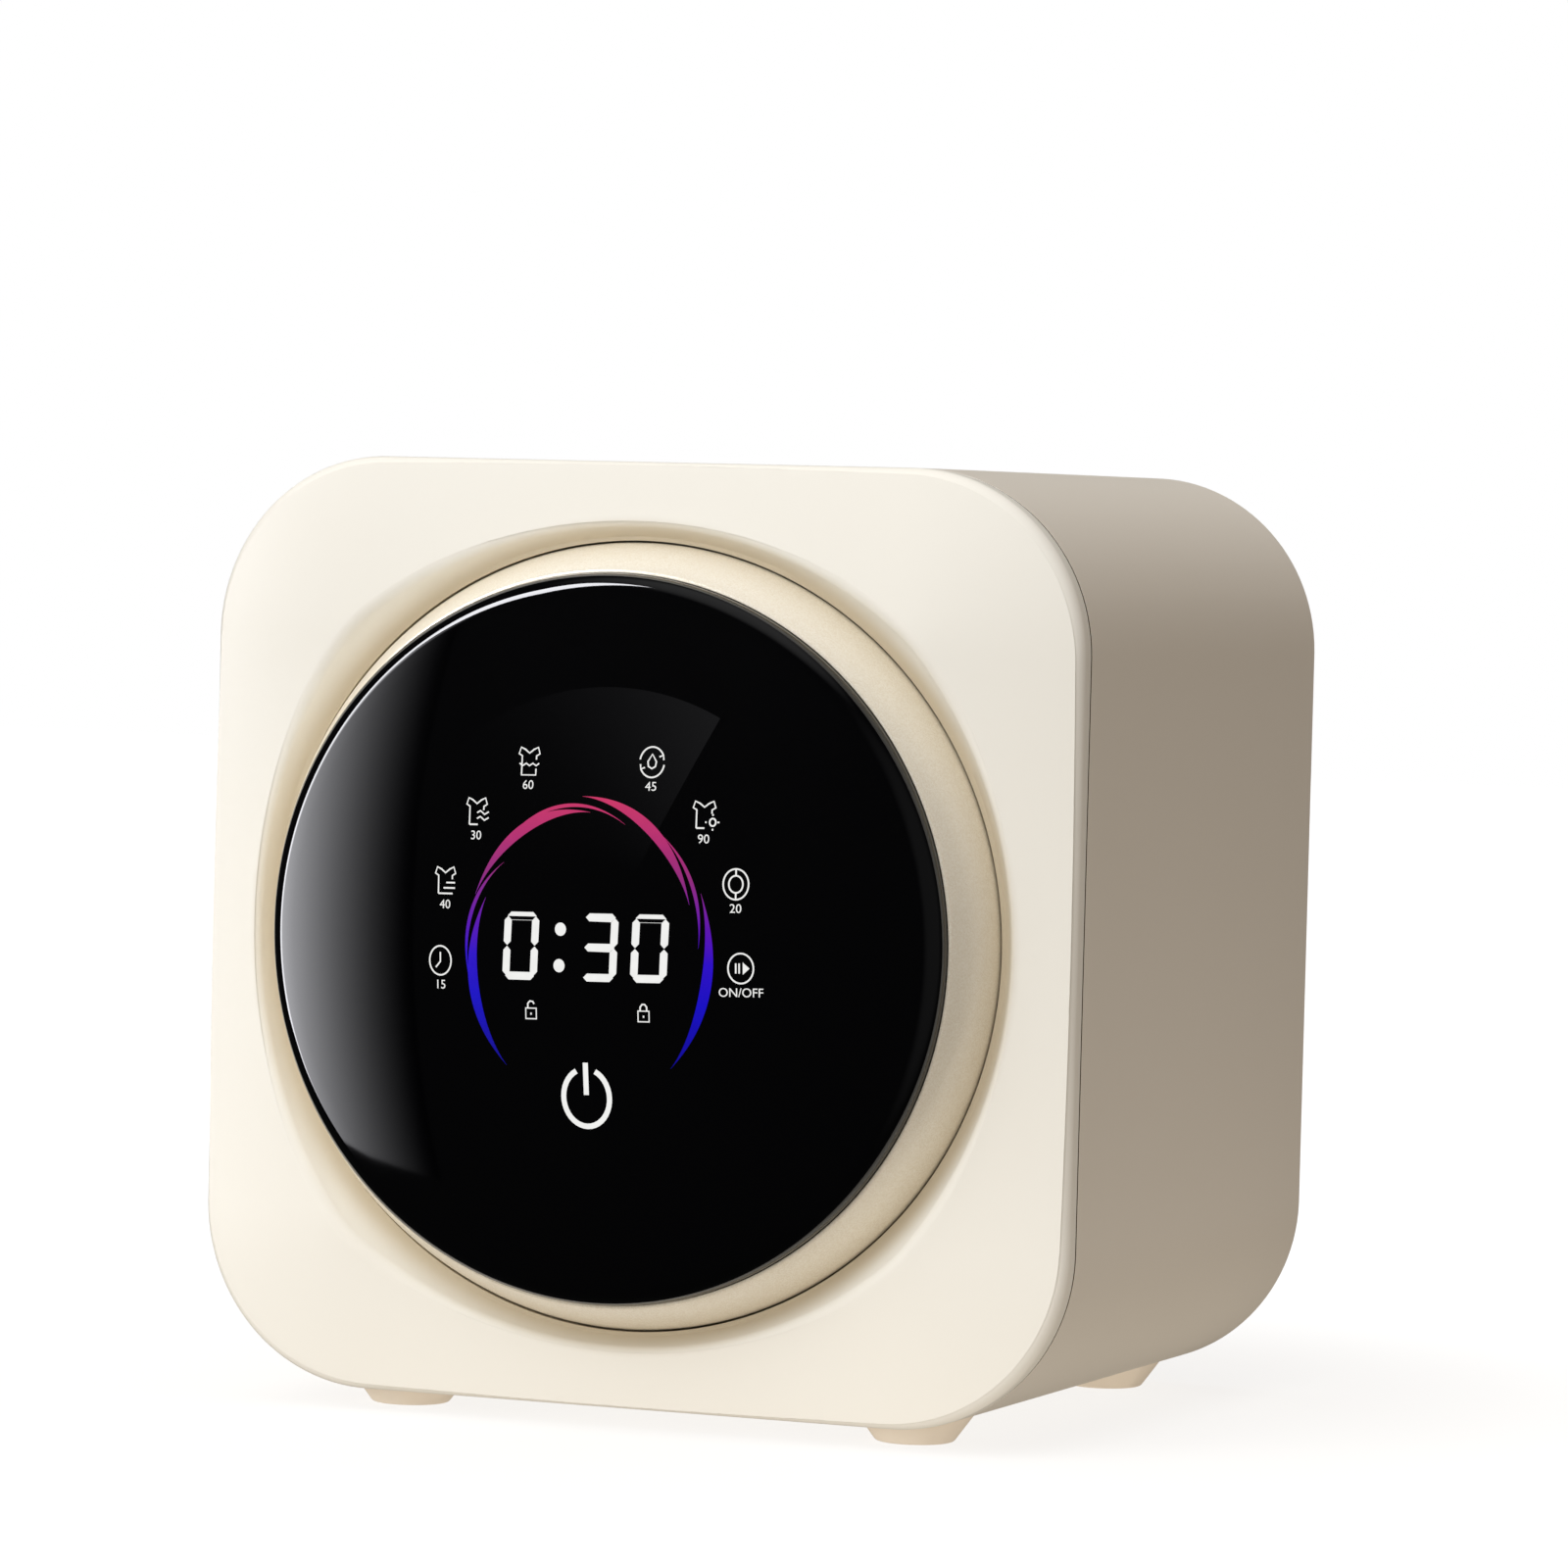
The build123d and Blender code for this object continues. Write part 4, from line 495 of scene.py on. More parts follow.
@dataclass(frozen=True)
class LitPrint(Finish):
    """Print that is lit from behind: it glows, a little unevenly, in one or more colours."""

    stops: tuple[tuple[float, str], ...]
    strength: float = 1.0
    unevenness: float = 0.06
    lamp_mm: float = 4.0
    unlit: str = "#030303"
    roughness: float = 0.5
    specular: float = 0.05

    def look(self, tree: Tree, place: Socket) -> dict[str, object]:
        """Runs the colour with the height from the door's axis, in millimetres, stop by stop.

        Args:
            tree: The material's nodes.
            place: The object coordinates.

        Returns:
            What each of the shader's inputs gets.
        """
        height = add_node(tree, "ShaderNodeSeparateXYZ", {"Vector": place}).outputs["Z"]
        low, high = self.stops[0][0], self.stops[-1][0]
        climb = {
            "Value": height,
            "From Min": AXIS_HEIGHT + low * MM,
            "From Max": AXIS_HEIGHT + high * MM,
        }
        share = add_node(tree, "ShaderNodeMapRange", climb)
        ramp = add_node(tree, "ShaderNodeValToRGB", {"Fac": share})
        points = ramp.color_ramp.elements
        while len(points) < len(self.stops):
            points.new(0.5)
        for point, (level, colour) in zip(points, self.stops):
            point.position = (level - low) / (high - low)
            point.color = hex_to_linear(colour)
        spots = {"Vector": place, "Scale": per_metre(self.lamp_mm), "Detail": 1.0}
        level = {
            "Value": add_node(tree, "ShaderNodeTexNoise", spots),
            "To Min": self.strength * (1 - self.unevenness),
            "To Max": self.strength * (1 + self.unevenness),
        }
        return {
            "Base Color": hex_to_linear(self.unlit),
            "Roughness": self.roughness,
            "Specular IOR Level": self.specular,
            "Emission Color": ramp,
            "Emission Strength": add_node(tree, "ShaderNodeMapRange", level),
        }


# Finishes of this machine

# ABS moulded in a polished tool: an even cream with a soft, broad shine; the cone round the door
# carries painted warm shade and a painted reflection of the ring
CREAM = Surface(
    "cream_gloss_abs", "#F5F3EB", "#F4F1E8", roughness=0.3, spread=0.03, patch_mm=90.0,
    grain_mm=0.6, relief_mm=0.004, specular=0.08, painted_shade=PaintedConeShade("#CBBEA5", 152.0, 161.0),
)
# ABS moulded in a finely blasted tool: the same cream, more matt, with painted shadow in its front
# joint
CASING = Surface(
    "cream_satin_abs", "#F4EEE3", "#F2ECE0", roughness=0.36, spread=0.03, patch_mm=120.0,
    grain_mm=0.6, relief_mm=0.006, specular=0.3,
    painted_shade=PaintedJointShadow("#54462F", front=-0.10845, rear=-0.10690),
)
# Moulded rubber: a warm, matt cream that mirrors nothing
FOOT = Surface(
    "cream_foot_rubber", "#FFF5E6", "#FBF0DE", roughness=0.6, spread=0.05, patch_mm=12.0,
    grain_mm=0.5, relief_mm=0.02,
)
# ABS from a coarsely blasted tool: a dull cream with a grain that can be seen
COVER = Surface(
    "cream_cover_abs", "#EFE6D6", "#EBE1CF", roughness=0.5, spread=0.04, patch_mm=80.0,
    grain_mm=0.9, relief_mm=0.03,
)
# Sprayed satin paint with metal flakes: a pale gold that sparkles finely. Its flakes are drawn
# coarser than real ones, so that they show
RING = FlakePaint("champagne_flake_paint", "#F3EAD6", "#FFF9EA", metallic=0.2)
# Toughened glass, printed black behind: deep black, sharp reflections, a dim sector of the dial
GLASS = TintedGlass(
    "black_cover_glass",
    "#020203",
    DialGlow(
        "#1E1E1F", strength=1.15, centre_x_mm=8.8, hub_mm=30.0, radius_mm=96.0,
        full_degrees=-7.7, first_degrees=63.3, last_degrees=142.0,
    ),
)
# Screen print with lamps behind it: it gives light of its own, and its ink mirrors nearly nothing
WHITE_PRINT = LitPrint("white_lit_print", ((0.0, "#F0F0EE"), (1.0, "#F0F0EE")))
# The same print over coloured lamps: deep blue below, through violet, to a warm red on top
COLOURED_PRINT = LitPrint(
    "coloured_lit_print",
    (
        (-50.0, "#0C0480"), (-22.0, "#150AC0"), (-6.0, "#2C0AC6"), (7.0, "#5C10AE"),
        (25.0, "#902A7C"), (39.0, "#B22E70"), (55.0, "#CA3766"),
    ),
)
# Moulded black ABS: nearly black, with a low, broad shine
DARK = Surface(
    "black_abs", "#17171A", "#1C1C20", roughness=0.45, spread=0.05, patch_mm=30.0,
    grain_mm=0.6, relief_mm=0.01,
)
# Glass-fibre laminate under solder resist: a dull green that the copper below makes patchy
BOARD = Surface(
    "green_circuit_laminate", "#1F5A38", "#2A6B42", roughness=0.4, spread=0.08, patch_mm=9.0,
    grain_mm=1.6, relief_mm=0.03,
)
# Moulded ABS of the display's housing: black, a little lighter and glossier than its carrier
MODULE = Surface(
    "display_housing_abs", "#202024", "#26262B", roughness=0.4, spread=0.05, patch_mm=20.0,
    grain_mm=0.6, relief_mm=0.01,
)
# Moulded pale grey ABS: plain, with a low shine
INNER = Surface(
    "pale_grey_abs", "#DAD6CE", "#D4CFC6", roughness=0.42, spread=0.04, patch_mm=60.0,
    grain_mm=0.8, relief_mm=0.012,
)
# Moulded polycarbonate: clear, slightly grey, with faint flow lines in its shine
BOWL = ClearPlastic("clear_polycarbonate", "#DDE4E6")
# Zinc-plated steel: a cool grey metal, clouded where the plating crystals differ
ZINC = Surface(
    "zinc_plated_steel", "#C9CCCE", "#B9BDBE", roughness=0.34, spread=0.08, patch_mm=14.0,
    grain_mm=0.7, relief_mm=0.01, metallic=1.0,
)
# Turned and ground steel: a brighter metal with a tighter shine
STEEL = Surface(
    "turned_steel", "#C2C4C6", "#B2B4B7", roughness=0.26, spread=0.06, patch_mm=10.0,
    grain_mm=0.4, relief_mm=0.01, metallic=1.0,
)
# Rolled stainless sheet: a pale metal whose shine is drawn out along the rolling
STAINLESS = Surface(
    "rolled_stainless_steel", "#DADBDB", "#CFD0D1", roughness=0.3, spread=0.05, patch_mm=40.0,
    grain_mm=0.5, relief_mm=0.002, metallic=0.7, pattern=Pattern.ROLLED,
)
# Mineral-filled polypropylene: a matt light grey, faintly mottled
TUB = Surface(
    "grey_filled_polypropylene", "#B9BBBC", "#ADB0B1", roughness=0.55, spread=0.05,
    patch_mm=40.0, grain_mm=1.0, relief_mm=0.03,
)
# Moulded door rubber: a soft matt grey with a light bloom where it curves away
GREY_RUBBER = Surface(
    "grey_door_rubber", "#A3A5A6", "#989B9C", roughness=0.6, spread=0.06, patch_mm=18.0,
    grain_mm=0.7, relief_mm=0.02, sheen=0.2,
)
# Moulded black rubber: a flat charcoal with the same bloom
BLACK_RUBBER = Surface(
    "black_rubber", "#1E1E1F", "#252526", roughness=0.65, spread=0.06, patch_mm=12.0,
    grain_mm=0.6, relief_mm=0.02, sheen=0.15,
)
# Sand-cast aluminium: a dull metal with a coarse, pitted grain
CAST = Surface(
    "cast_aluminium", "#B4B6B6", "#A3A5A6", roughness=0.5, spread=0.1, patch_mm=6.0,
    grain_mm=1.2, relief_mm=0.06, metallic=1.0,
)
# Painted pressed steel: dark grey, with a trace of metal in its shine
MOTOR = Surface(
    "painted_motor_steel", "#3A3D40", "#44474A", roughness=0.45, spread=0.06, patch_mm=20.0,
    grain_mm=0.8, relief_mm=0.02, metallic=0.2,
)
# Moulded polypropylene: a waxy charcoal with a low shine
DUCT = Surface(
    "black_polypropylene_duct", "#2A2C2E", "#323437", roughness=0.5, spread=0.05,
    patch_mm=25.0, grain_mm=0.8, relief_mm=0.02,
)
# Moulded nylon: a clean, slightly warm white with a soft shine
FITTING = Surface(
    "white_nylon_fitting", "#E6E6E2", "#DDDDD8", roughness=0.42, spread=0.05, patch_mm=12.0,
    grain_mm=0.7, relief_mm=0.015,
)


# Making meshes


def select_only(piece: Piece) -> None:
    """Makes one object the selected and active one.

    Args:
        piece: The object.
    """
    bpy.ops.object.select_all(action="DESELECT")
    piece.select_set(True)
    bpy.context.view_layer.objects.active = piece


@contextmanager
def editing(piece: Piece) -> Iterator[None]:
    """Opens a piece in edit mode with all of it selected, and then goes back to object mode.

    Args:
        piece: The piece.

    Yields:
        Nothing, while the piece is open.
    """
    select_only(piece)
    bpy.ops.object.mode_set(mode="EDIT")
    bpy.ops.mesh.select_all(action="SELECT")
    yield
    bpy.ops.object.mode_set(mode="OBJECT")


def apply_modifier(piece: Piece, kind: str, **settings: object) -> None:
    """Adds a modifier to a piece, sets it up and applies it.

    Args:
        piece: The object to change.
        kind: The modifier's type name.
        **settings: Its attributes.
    """
    select_only(piece)
    modifier = piece.modifiers.new(kind.lower(), kind)
    for key, value in settings.items():
        setattr(modifier, key, value)
    bpy.ops.object.modifier_apply(modifier=modifier.name)


def smooth(piece: Piece, degrees: float = 30.0) -> None:
    """Shades a piece smooth, except at its sharp edges, with flat faces kept flat.

    Args:
        piece: The piece.
        degrees: Edges sharper than this stay sharp.
    """
    select_only(piece)
    bpy.ops.object.shade_smooth_by_angle(angle=math.radians(degrees))
    apply_modifier(piece, "WEIGHTED_NORMAL", keep_sharp=True, weight=80)


def tidy_shell(piece: Piece, gap: float = 1e-6) -> None:
    """Merges the points that coincide and turns every face outwards.

    Args:
        piece: The piece.
        gap: Points nearer to each other than this, in metres, become one.
    """
    with editing(piece):
        bpy.ops.mesh.remove_doubles(threshold=gap)
        bpy.ops.mesh.normals_make_consistent(inside=False)


def join(name: str, pieces: Sequence[Piece]) -> Piece:
    """Joins pieces into one object.

    Args:
        name: The joined piece's name.
        pieces: The pieces.

    Returns:
        The joined piece.
    """
    select_only(pieces[0])
    for piece in pieces:
        piece.select_set(True)
    bpy.ops.object.join()
    joined = bpy.context.object
    joined.name = joined.data.name = name
    return joined


def circle_through(first: Flat, second: Flat, third: Flat) -> tuple[float, float, float]:
    """Finds the circle through three points.

    Args:
        first: One point.
        second: Another.
        third: The last.

    Returns:
        The centre's two values, and the radius.
    """
    (x1, y1), (x2, y2), (x3, y3) = first, second, third
    twist = 2 * (x1 * (y2 - y3) + x2 * (y3 - y1) + x3 * (y1 - y2))
    s1, s2, s3 = x1 * x1 + y1 * y1, x2 * x2 + y2 * y2, x3 * x3 + y3 * y3
    x = (s1 * (y2 - y3) + s2 * (y3 - y1) + s3 * (y1 - y2)) / twist
    y = (s1 * (x3 - x2) + s2 * (x1 - x3) + s3 * (x2 - x1)) / twist
    return x, y, math.hypot(x1 - x, y1 - y)


def arc_between(start: Flat, middle: Flat, end: Flat, steps: int) -> list[Flat]:
    """Points on the circle through three points.

    Args:
        start: The first point, which is left out.
        middle: A point between.
        end: The last point, which is the last in the list.
        steps: How many points.

    Returns:
        The points after the start.
    """
    x, y, radius = circle_through(start, middle, end)
    first, last = math.atan2(start[1] - y, start[0] - x), math.atan2(end[1] - y, end[0] - x)
    sweep = (last - first + math.pi) % (2 * math.pi) - math.pi
    turns = [first + sweep * k / steps for k in range(1, steps + 1)]
    return [(x + radius * math.cos(turn), y + radius * math.sin(turn)) for turn in turns]


@dataclass
class Loops:
    """A ring of points that is extruded into a ribbed tube, each rib then drawn to its section."""

    name: str
    sections: Sequence[Section]
    count: int
    rounds: dict[int, Rounding] = field(default_factory=dict)

    def build(self) -> Piece:
        """Makes the closed shell.

        Returns:
            The piece, with its first and last section joined and the asked edges rounded.
        """
        sections = [*self.sections, self.sections[0]]
        bpy.ops.object.select_all(action="DESELECT")
        upright = (math.pi / 2, 0, 0)
        bpy.ops.mesh.primitive_circle_add(vertices=self.count, radius=1.0, rotation=upright)
        piece = bpy.context.object
        piece.name = piece.data.name = self.name
        bpy.ops.object.transform_apply(location=True, rotation=True, scale=True)
        with editing(piece):
            for _ in sections[1:]:
                bpy.ops.mesh.extrude_region_move(TRANSFORM_OT_translate={"value": (0, 1, 0)})
        rows = [round(vertex.co.y) for vertex in piece.data.vertices]
        for vertex, row in zip(piece.data.vertices, rows):
            vertex.co = sections[row](math.atan2(vertex.co.z, vertex.co.x))
        self.round_edges(piece, rows)
        tidy_shell(piece)
        return piece

    def round_edges(self, piece: Piece, rows: Sequence[int]) -> None:
        """Bevels whole loops of edges.

        Args:
            piece: The shell to change.
            rows: The section that each point belongs to.
        """
        piece.data.attributes.new("row", "INT", "POINT").data.foreach_set("value", rows)
        for row, (offset, segments) in self.rounds.items():
            with editing(piece):
                bpy.ops.mesh.select_mode(type="EDGE")
                bpy.ops.mesh.select_all(action="DESELECT")
            values = [entry.value for entry in piece.data.attributes["row"].data]
            for edge in piece.data.edges:
                edge.select = all(values[i] == row for i in edge.vertices)
            bpy.ops.object.mode_set(mode="EDIT")
            bpy.ops.mesh.bevel(offset=offset * MM, segments=segments, profile=0.5, affect="EDGES")
            bpy.ops.object.mode_set(mode="OBJECT")
            values = [entry.value for entry in piece.data.attributes["row"].data]
            for vertex in piece.data.vertices:
                if vertex.select:
                    values[vertex.index] = -1
            piece.data.attributes["row"].data.foreach_set("value", values)
        piece.data.attributes.remove(piece.data.attributes["row"])


@dataclass(frozen=True)
class Layout:
    """The cabinet's own axes: X to the right, depth from its front edge, Z from the door's axis."""

    front: float
    axis: float

    def at(self, x: float, depth: float, z: float) -> Point:
        """A point in metres in the frame, from millimetres in the cabinet's axes."""
        return x * MM, self.front + depth * MM, self.axis + z * MM

    def turned(self, radius: float, depth: float) -> Section:
        """A circle about the door's axis."""
        return lambda angle: self.at(radius * math.cos(angle), depth, radius * math.sin(angle))

    def upright(self, x: float, depth: float, radius: float, height: float) -> Section:
        """A level circle about an upright line."""
        return lambda angle: self.at(
            x + radius * math.cos(angle), depth + radius * math.sin(angle), height
        )


@dataclass
class Carrier:
    """Dresses pieces and puts them on the frame's bodies."""

    nodes: dict[str, Piece]
    bodies: dict[str, str]

    def dress(
        self, piece: Piece, finish: Finish, slot: str, body: str, replaced: Iterable[str] = ()
    ) -> None:
        """Gives a piece its finish and body.

        Args:
            piece: The new piece.
            finish: Its finish.
            slot: The record's material slot that it takes its finish from; not used.
            body: The body that it rides on.
            replaced: The CAD nodes that it stands for.
        """
        piece.data.materials.clear()
        piece.data.materials.append(finish.material())
        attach(piece, body)
        if replaced:
            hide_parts(*replaced)
        LOG.info("%s: %d faces, on %s", piece.name, len(piece.data.polygons), body)

    def paint(self, node: str, finish: Finish) -> None:
        """Gives a CAD node that stays in view its finish.

        Args:
            node: The CAD node.
            finish: Its finish.
        """
        slots = self.nodes[node].data.materials
        slots.clear()
        slots.append(finish.material())
        LOG.info("%s: CAD node kept, finish %s", node, finish.name)

    def refine(self, node: str, finish: Finish, slot: str, degrees: float = 32.0) -> None:
        """Copies a CAD node as a joined, smoothly shaded mesh that stands for it.

        Args:
            node: The CAD node.
            finish: The copy's finish.
            slot: The record's slot.
            degrees: Edges sharper than this stay sharp.
        """
        piece = bpy.data.objects.new(f"{node}_smooth", self.nodes[node].data.copy())
        bpy.context.scene.collection.objects.link(piece)
        with editing(piece):
            if piece.data.has_custom_normals:
                bpy.ops.mesh.customdata_custom_splitnormals_clear()
            bpy.ops.mesh.remove_doubles(threshold=2e-6)
        smooth(piece, degrees)
        self.dress(piece, finish, slot, self.bodies[node], [node])


# Cabinet


@dataclass
class Cabinet:
    """Front panel, casing and feet. Sizes are in millimetres."""

    layout: Layout
    points_round: int = 384
    half_width: float = 180.0
    half_height: float = 181.0
    corner: float = 70.0
    wall: float = 3.0
    seam: float = 13.0
    groove_width: float = 1.4
    groove_depth: float = 2.4
    rear: float = 276.0
    edge_depth: float = 3.5
    crown_depth: float = -9.0
    middle_depth: float = -4.2
    face_loops: int = 18
    back_shares: tuple[float, ...] = (1, 0.75, 0.5, 0.25, 0)
    skin_lean: float = 1.04
    opening: float = 151.0
    seam_depth: float = 4.0
    bore_end: float = 22.0
    seat_back: float = 25.0
    seat_radius: float = 120.0
    dish_sag: float = 2.6
    dish_shares: tuple[float, ...] = (0.28, 0.5, 0.75)
    edge_round: Rounding = (4.6, 8)
    crest_round: Rounding = (3.0, 6)
    hinge_slot: Box = ((-156.0, 6.5, -17.0), (-138.3, 30.0, 17.0))
    bolt_slot: Box = ((131.5, 20.0, -9.5), (139.5, 30.0, 9.5))
    ledge_front: float = 262.5
    cover_front: float = 265.5
    ledge_width: float = 13.0
    rear_round: Rounding = (2.2, 5)
    rim_round: Rounding = (0.3, 3)
    foot_side: float = 106.5
    foot_front: float = 41.0
    foot_rear: float = 250.0
    foot_height: float = 8.0
    foot_slope: float = 0.709
    foot_points: int = 96
    sole_radius: float = 15.2
    recess_radius: float = 2.5
    recess_rings: tuple[Flat, ...] = ((2.5, 5.0), (4.6, 5.0), (4.6, 0.3), (4.9, 0.0))
    sole_rings: tuple[Flat, ...] = ((-0.9, 0.0), (-0.2, 0.25), (0.4, 0.8))

    def __post_init__(self) -> None:
        """Finds the circle through the face's crown, middle and edge."""
        self.arc_x, self.arc_y, self.arc_radius = circle_through(
            (0.0, self.crown_depth),
            (self.corner / 2, self.middle_depth),
            (self.corner, self.edge_depth),
        )

    def reach(self, angle: float, inset: float) -> float:
        """How far the cabinet's rounded outline, drawn in by an inset, is from the axis.

        Args:
            angle: The direction about the door's axis, in radians.
            inset: How far the outline is drawn in.

        Returns:
            The distance in millimetres.
        """
        across, up = abs(math.cos(angle)), abs(math.sin(angle))
        core_x, core_z = self.half_width - self.corner, self.half_height - self.corner
        if across > 1e-9 and (self.half_width - inset) * up / across <= core_z:
            return (self.half_width - inset) / across
        if up > 1e-9 and (self.half_height - inset) * across / up <= core_x:
            return (self.half_height - inset) / up
        along = core_x * across + core_z * up
        return along + math.sqrt(along**2 - core_x**2 - core_z**2 + (self.corner - inset) ** 2)

    def face_depth(self, x: float, z: float) -> float:
        """The depth of the front face at a place, from its distance to the flat core.

        Args:
            x: The place across.
            z: The place upwards.

        Returns:
            The depth.
        """
        past_x = max(abs(x) - self.half_width + self.corner, 0.0)
        past_z = max(abs(z) - self.half_height + self.corner, 0.0)
        past = min(math.hypot(past_x, past_z), self.corner)
        return self.arc_y - math.copysign(
            math.sqrt(self.arc_radius**2 - (past - self.arc_x) ** 2), self.arc_y - self.crown_depth
        )

    def crest(self, angle: float) -> float:
        """Finds, by halving, where the opening's cone meets the face.

        Args:
            angle: The direction about the door's axis, in radians.

        Returns:
            The distance from the axis.
        """
        low, high = self.opening, self.reach(angle, 0.0)
        for _ in range(40):
            radius = (low + high) / 2
            cone = self.seam_depth - (radius - self.opening)
            if cone > self.face_depth(radius * math.cos(angle), radius * math.sin(angle)):
                low = radius
            else:
                high = radius
        return low

    def outline(self, inset: float, depth: float) -> Section:
        """The cabinet's outline at a depth.

        Args:
            inset: How far it is drawn in.
            depth: The depth.

        Returns:
            The loop's section.
        """

        def place(angle: float) -> Point:
            """The outline's point in a direction."""
            radius = self.reach(angle, inset)
            return self.layout.at(radius * math.cos(angle), depth, radius * math.sin(angle))

        return place

    def face(self, share: float, skin: float = 0.0) -> Section:
        """A loop on the front face.

        Args:
            share: 0 at the outer edge, 1 at the crest of the opening.
            skin: How far the loop is set back, for the inner side.

        Returns:
            The loop's section.
        """

        def place(angle: float) -> Point:
            """The loop's point in a direction."""
            outer, inner = self.reach(angle, skin), self.crest(angle) + skin
            radius = outer + (inner - outer) * share
            x, z = radius * math.cos(angle), radius * math.sin(angle)
            return self.layout.at(x, self.face_depth(x, z) + skin * self.skin_lean, z)

        return place

    def dish(self, share: float) -> Section:
        """A loop on the slightly hollow cone between the crest and the door's joint line.

        Args:
            share: 0 at the crest, 1 at the joint line.

        Returns:
            The loop's section.
        """

        def place(angle: float) -> Point:
            """The loop's point in a direction."""
            crest = self.crest(angle)
            top = self.face_depth(crest * math.cos(angle), crest * math.sin(angle))
            radius = crest + (self.opening - crest) * share
            sag = self.dish_sag * 4 * share * (1 - share)
            depth = top + (self.seam_depth - top) * share + sag
            return self.layout.at(radius * math.cos(angle), depth, radius * math.sin(angle))

        return place

    def front_panel(self) -> Piece:
        """The moulded front: face, crest, cone, bore and seat, hollow behind, with its two slots.

        Returns:
            The panel.
        """
        turned, wall = self.layout.turned, self.opening + self.wall
        sections = [self.outline(0, self.seam), self.face(0)]
        edge_row = 1
        sections += [self.face(k / self.face_loops) for k in range(1, self.face_loops)]
        crest_row = len(sections)
        sections += [self.face(1), *(self.dish(share) for share in self.dish_shares)]
        sections += [
            turned(radius, depth)
            for radius, depth in (
                (self.opening, self.seam_depth),
                (self.opening, self.bore_end),
                (self.seat_radius, self.bore_end),
                (self.seat_radius, self.seat_back),
                (wall, self.seat_back),
                (wall, self.seam_depth + self.wall / 2),
            )
        ]
        sections += [self.face(share, self.wall) for share in self.back_shares]
        sections += [self.outline(self.wall, self.seam)]
        rounds = {edge_row: self.edge_round, crest_row: self.crest_round}
        panel = Loops("front_panel_face", sections, self.points_round, rounds).build()
        for slot in (self.hinge_slot, self.bolt_slot):
            self.cut_box(panel, slot)
        smooth(panel)
        return panel

    def cut_box(self, piece: Piece, box: Box) -> None:
        """Cuts a box out of a piece.

        Args:
            piece: The piece to cut.
            box: The box's lowest and highest corner, in the cabinet's axes.
        """
        low, high = (Vector(self.layout.at(*corner)) for corner in box)
        bpy.ops.object.select_all(action="DESELECT")
        bpy.ops.mesh.primitive_cube_add(size=1.0, location=(low + high) / 2, scale=high - low)
        cutter = bpy.context.object
        apply_modifier(piece, "BOOLEAN", operation="DIFFERENCE", solver="EXACT", object=cutter)
        bpy.data.objects.remove(cutter)

    def casing(self) -> Piece:
        """The wrap-round shell with its stepped front rim, rounded rear rim and inner ledge.

        Returns:
            The casing.
        """
        step, inner = self.seam + self.groove_width, self.wall + self.ledge_width
        sections = [
            self.outline(inset, depth)
            for inset, depth in (
                (self.wall, self.seam),
                (self.groove_depth, self.seam),
                (self.groove_depth, step),
                (0, step),
                (0, self.rear),
                (self.wall, self.rear),
                (self.wall, self.cover_front),
                (inner, self.cover_front),
                (inner, self.ledge_front),
                (self.wall, self.ledge_front),
            )
        ]
        rim_row, rear_row = 3, 4
        rounds = {rear_row: self.rear_round, rim_row: self.rim_round}
        casing = Loops("casing_shell", sections, self.points_round, rounds).build()
        smooth(casing)
        return casing

    def foot(self, name: str, x: float, depth: float) -> Piece:
        """A short tapered foot with a softly rounded sole and a screw recess.

        Args:
            name: The piece's name.
            x: Its centre across.
            depth: Its centre's depth.

        Returns:
            The foot.
        """
        ground = -self.half_height - self.foot_height
        rings = [*self.recess_rings, *((self.sole_radius + r, h) for r, h in self.sole_rings)]

        def rim(angle: float) -> Point:
            """Where the foot's slope meets the casing's rounded underside.

            Args:
                angle: The direction about the foot's middle, in radians.

            Returns:
                The point.
            """
            gap = 0.0
            for _ in range(6):
                radius = self.sole_radius + self.foot_slope * (self.foot_height + gap)
                over = max(abs(x + radius * math.cos(angle)) - self.half_width + self.corner, 0.0)
                gap = self.corner - math.sqrt(self.corner**2 - over**2)
            return self.layout.upright(x, depth, radius, gap - self.half_height)(angle)

        upright = self.layout.upright
        sections = [upright(x, depth, radius, ground + height) for radius, height in rings]
        sections += [rim, upright(x, depth, self.recess_radius, -self.half_height)]
        foot = Loops(name, sections, self.foot_points).build()
        smooth(foot, 25.0)
        return foot

    def dress(self, carrier: Carrier) -> None:
        """Makes the cabinet's pieces and puts them in their CAD nodes' places.

        Args:
            carrier: What dresses them.
        """
        carrier.dress(self.front_panel(), CREAM, "cream_gloss", "cabinet", ["front_panel"])
        carrier.dress(self.casing(), CASING, "cream_gloss", "cabinet", ["side_casing"])
        for side, x in (("left", -self.foot_side), ("right", self.foot_side)):
            for end, depth in (("front", self.foot_front), ("rear", self.foot_rear)):
                foot = self.foot(f"foot_pad_{end}_{side}", x, depth)
                carrier.dress(foot, FOOT, "cream_foot", "cabinet", [f"foot_{end}_{side}"])


# Door


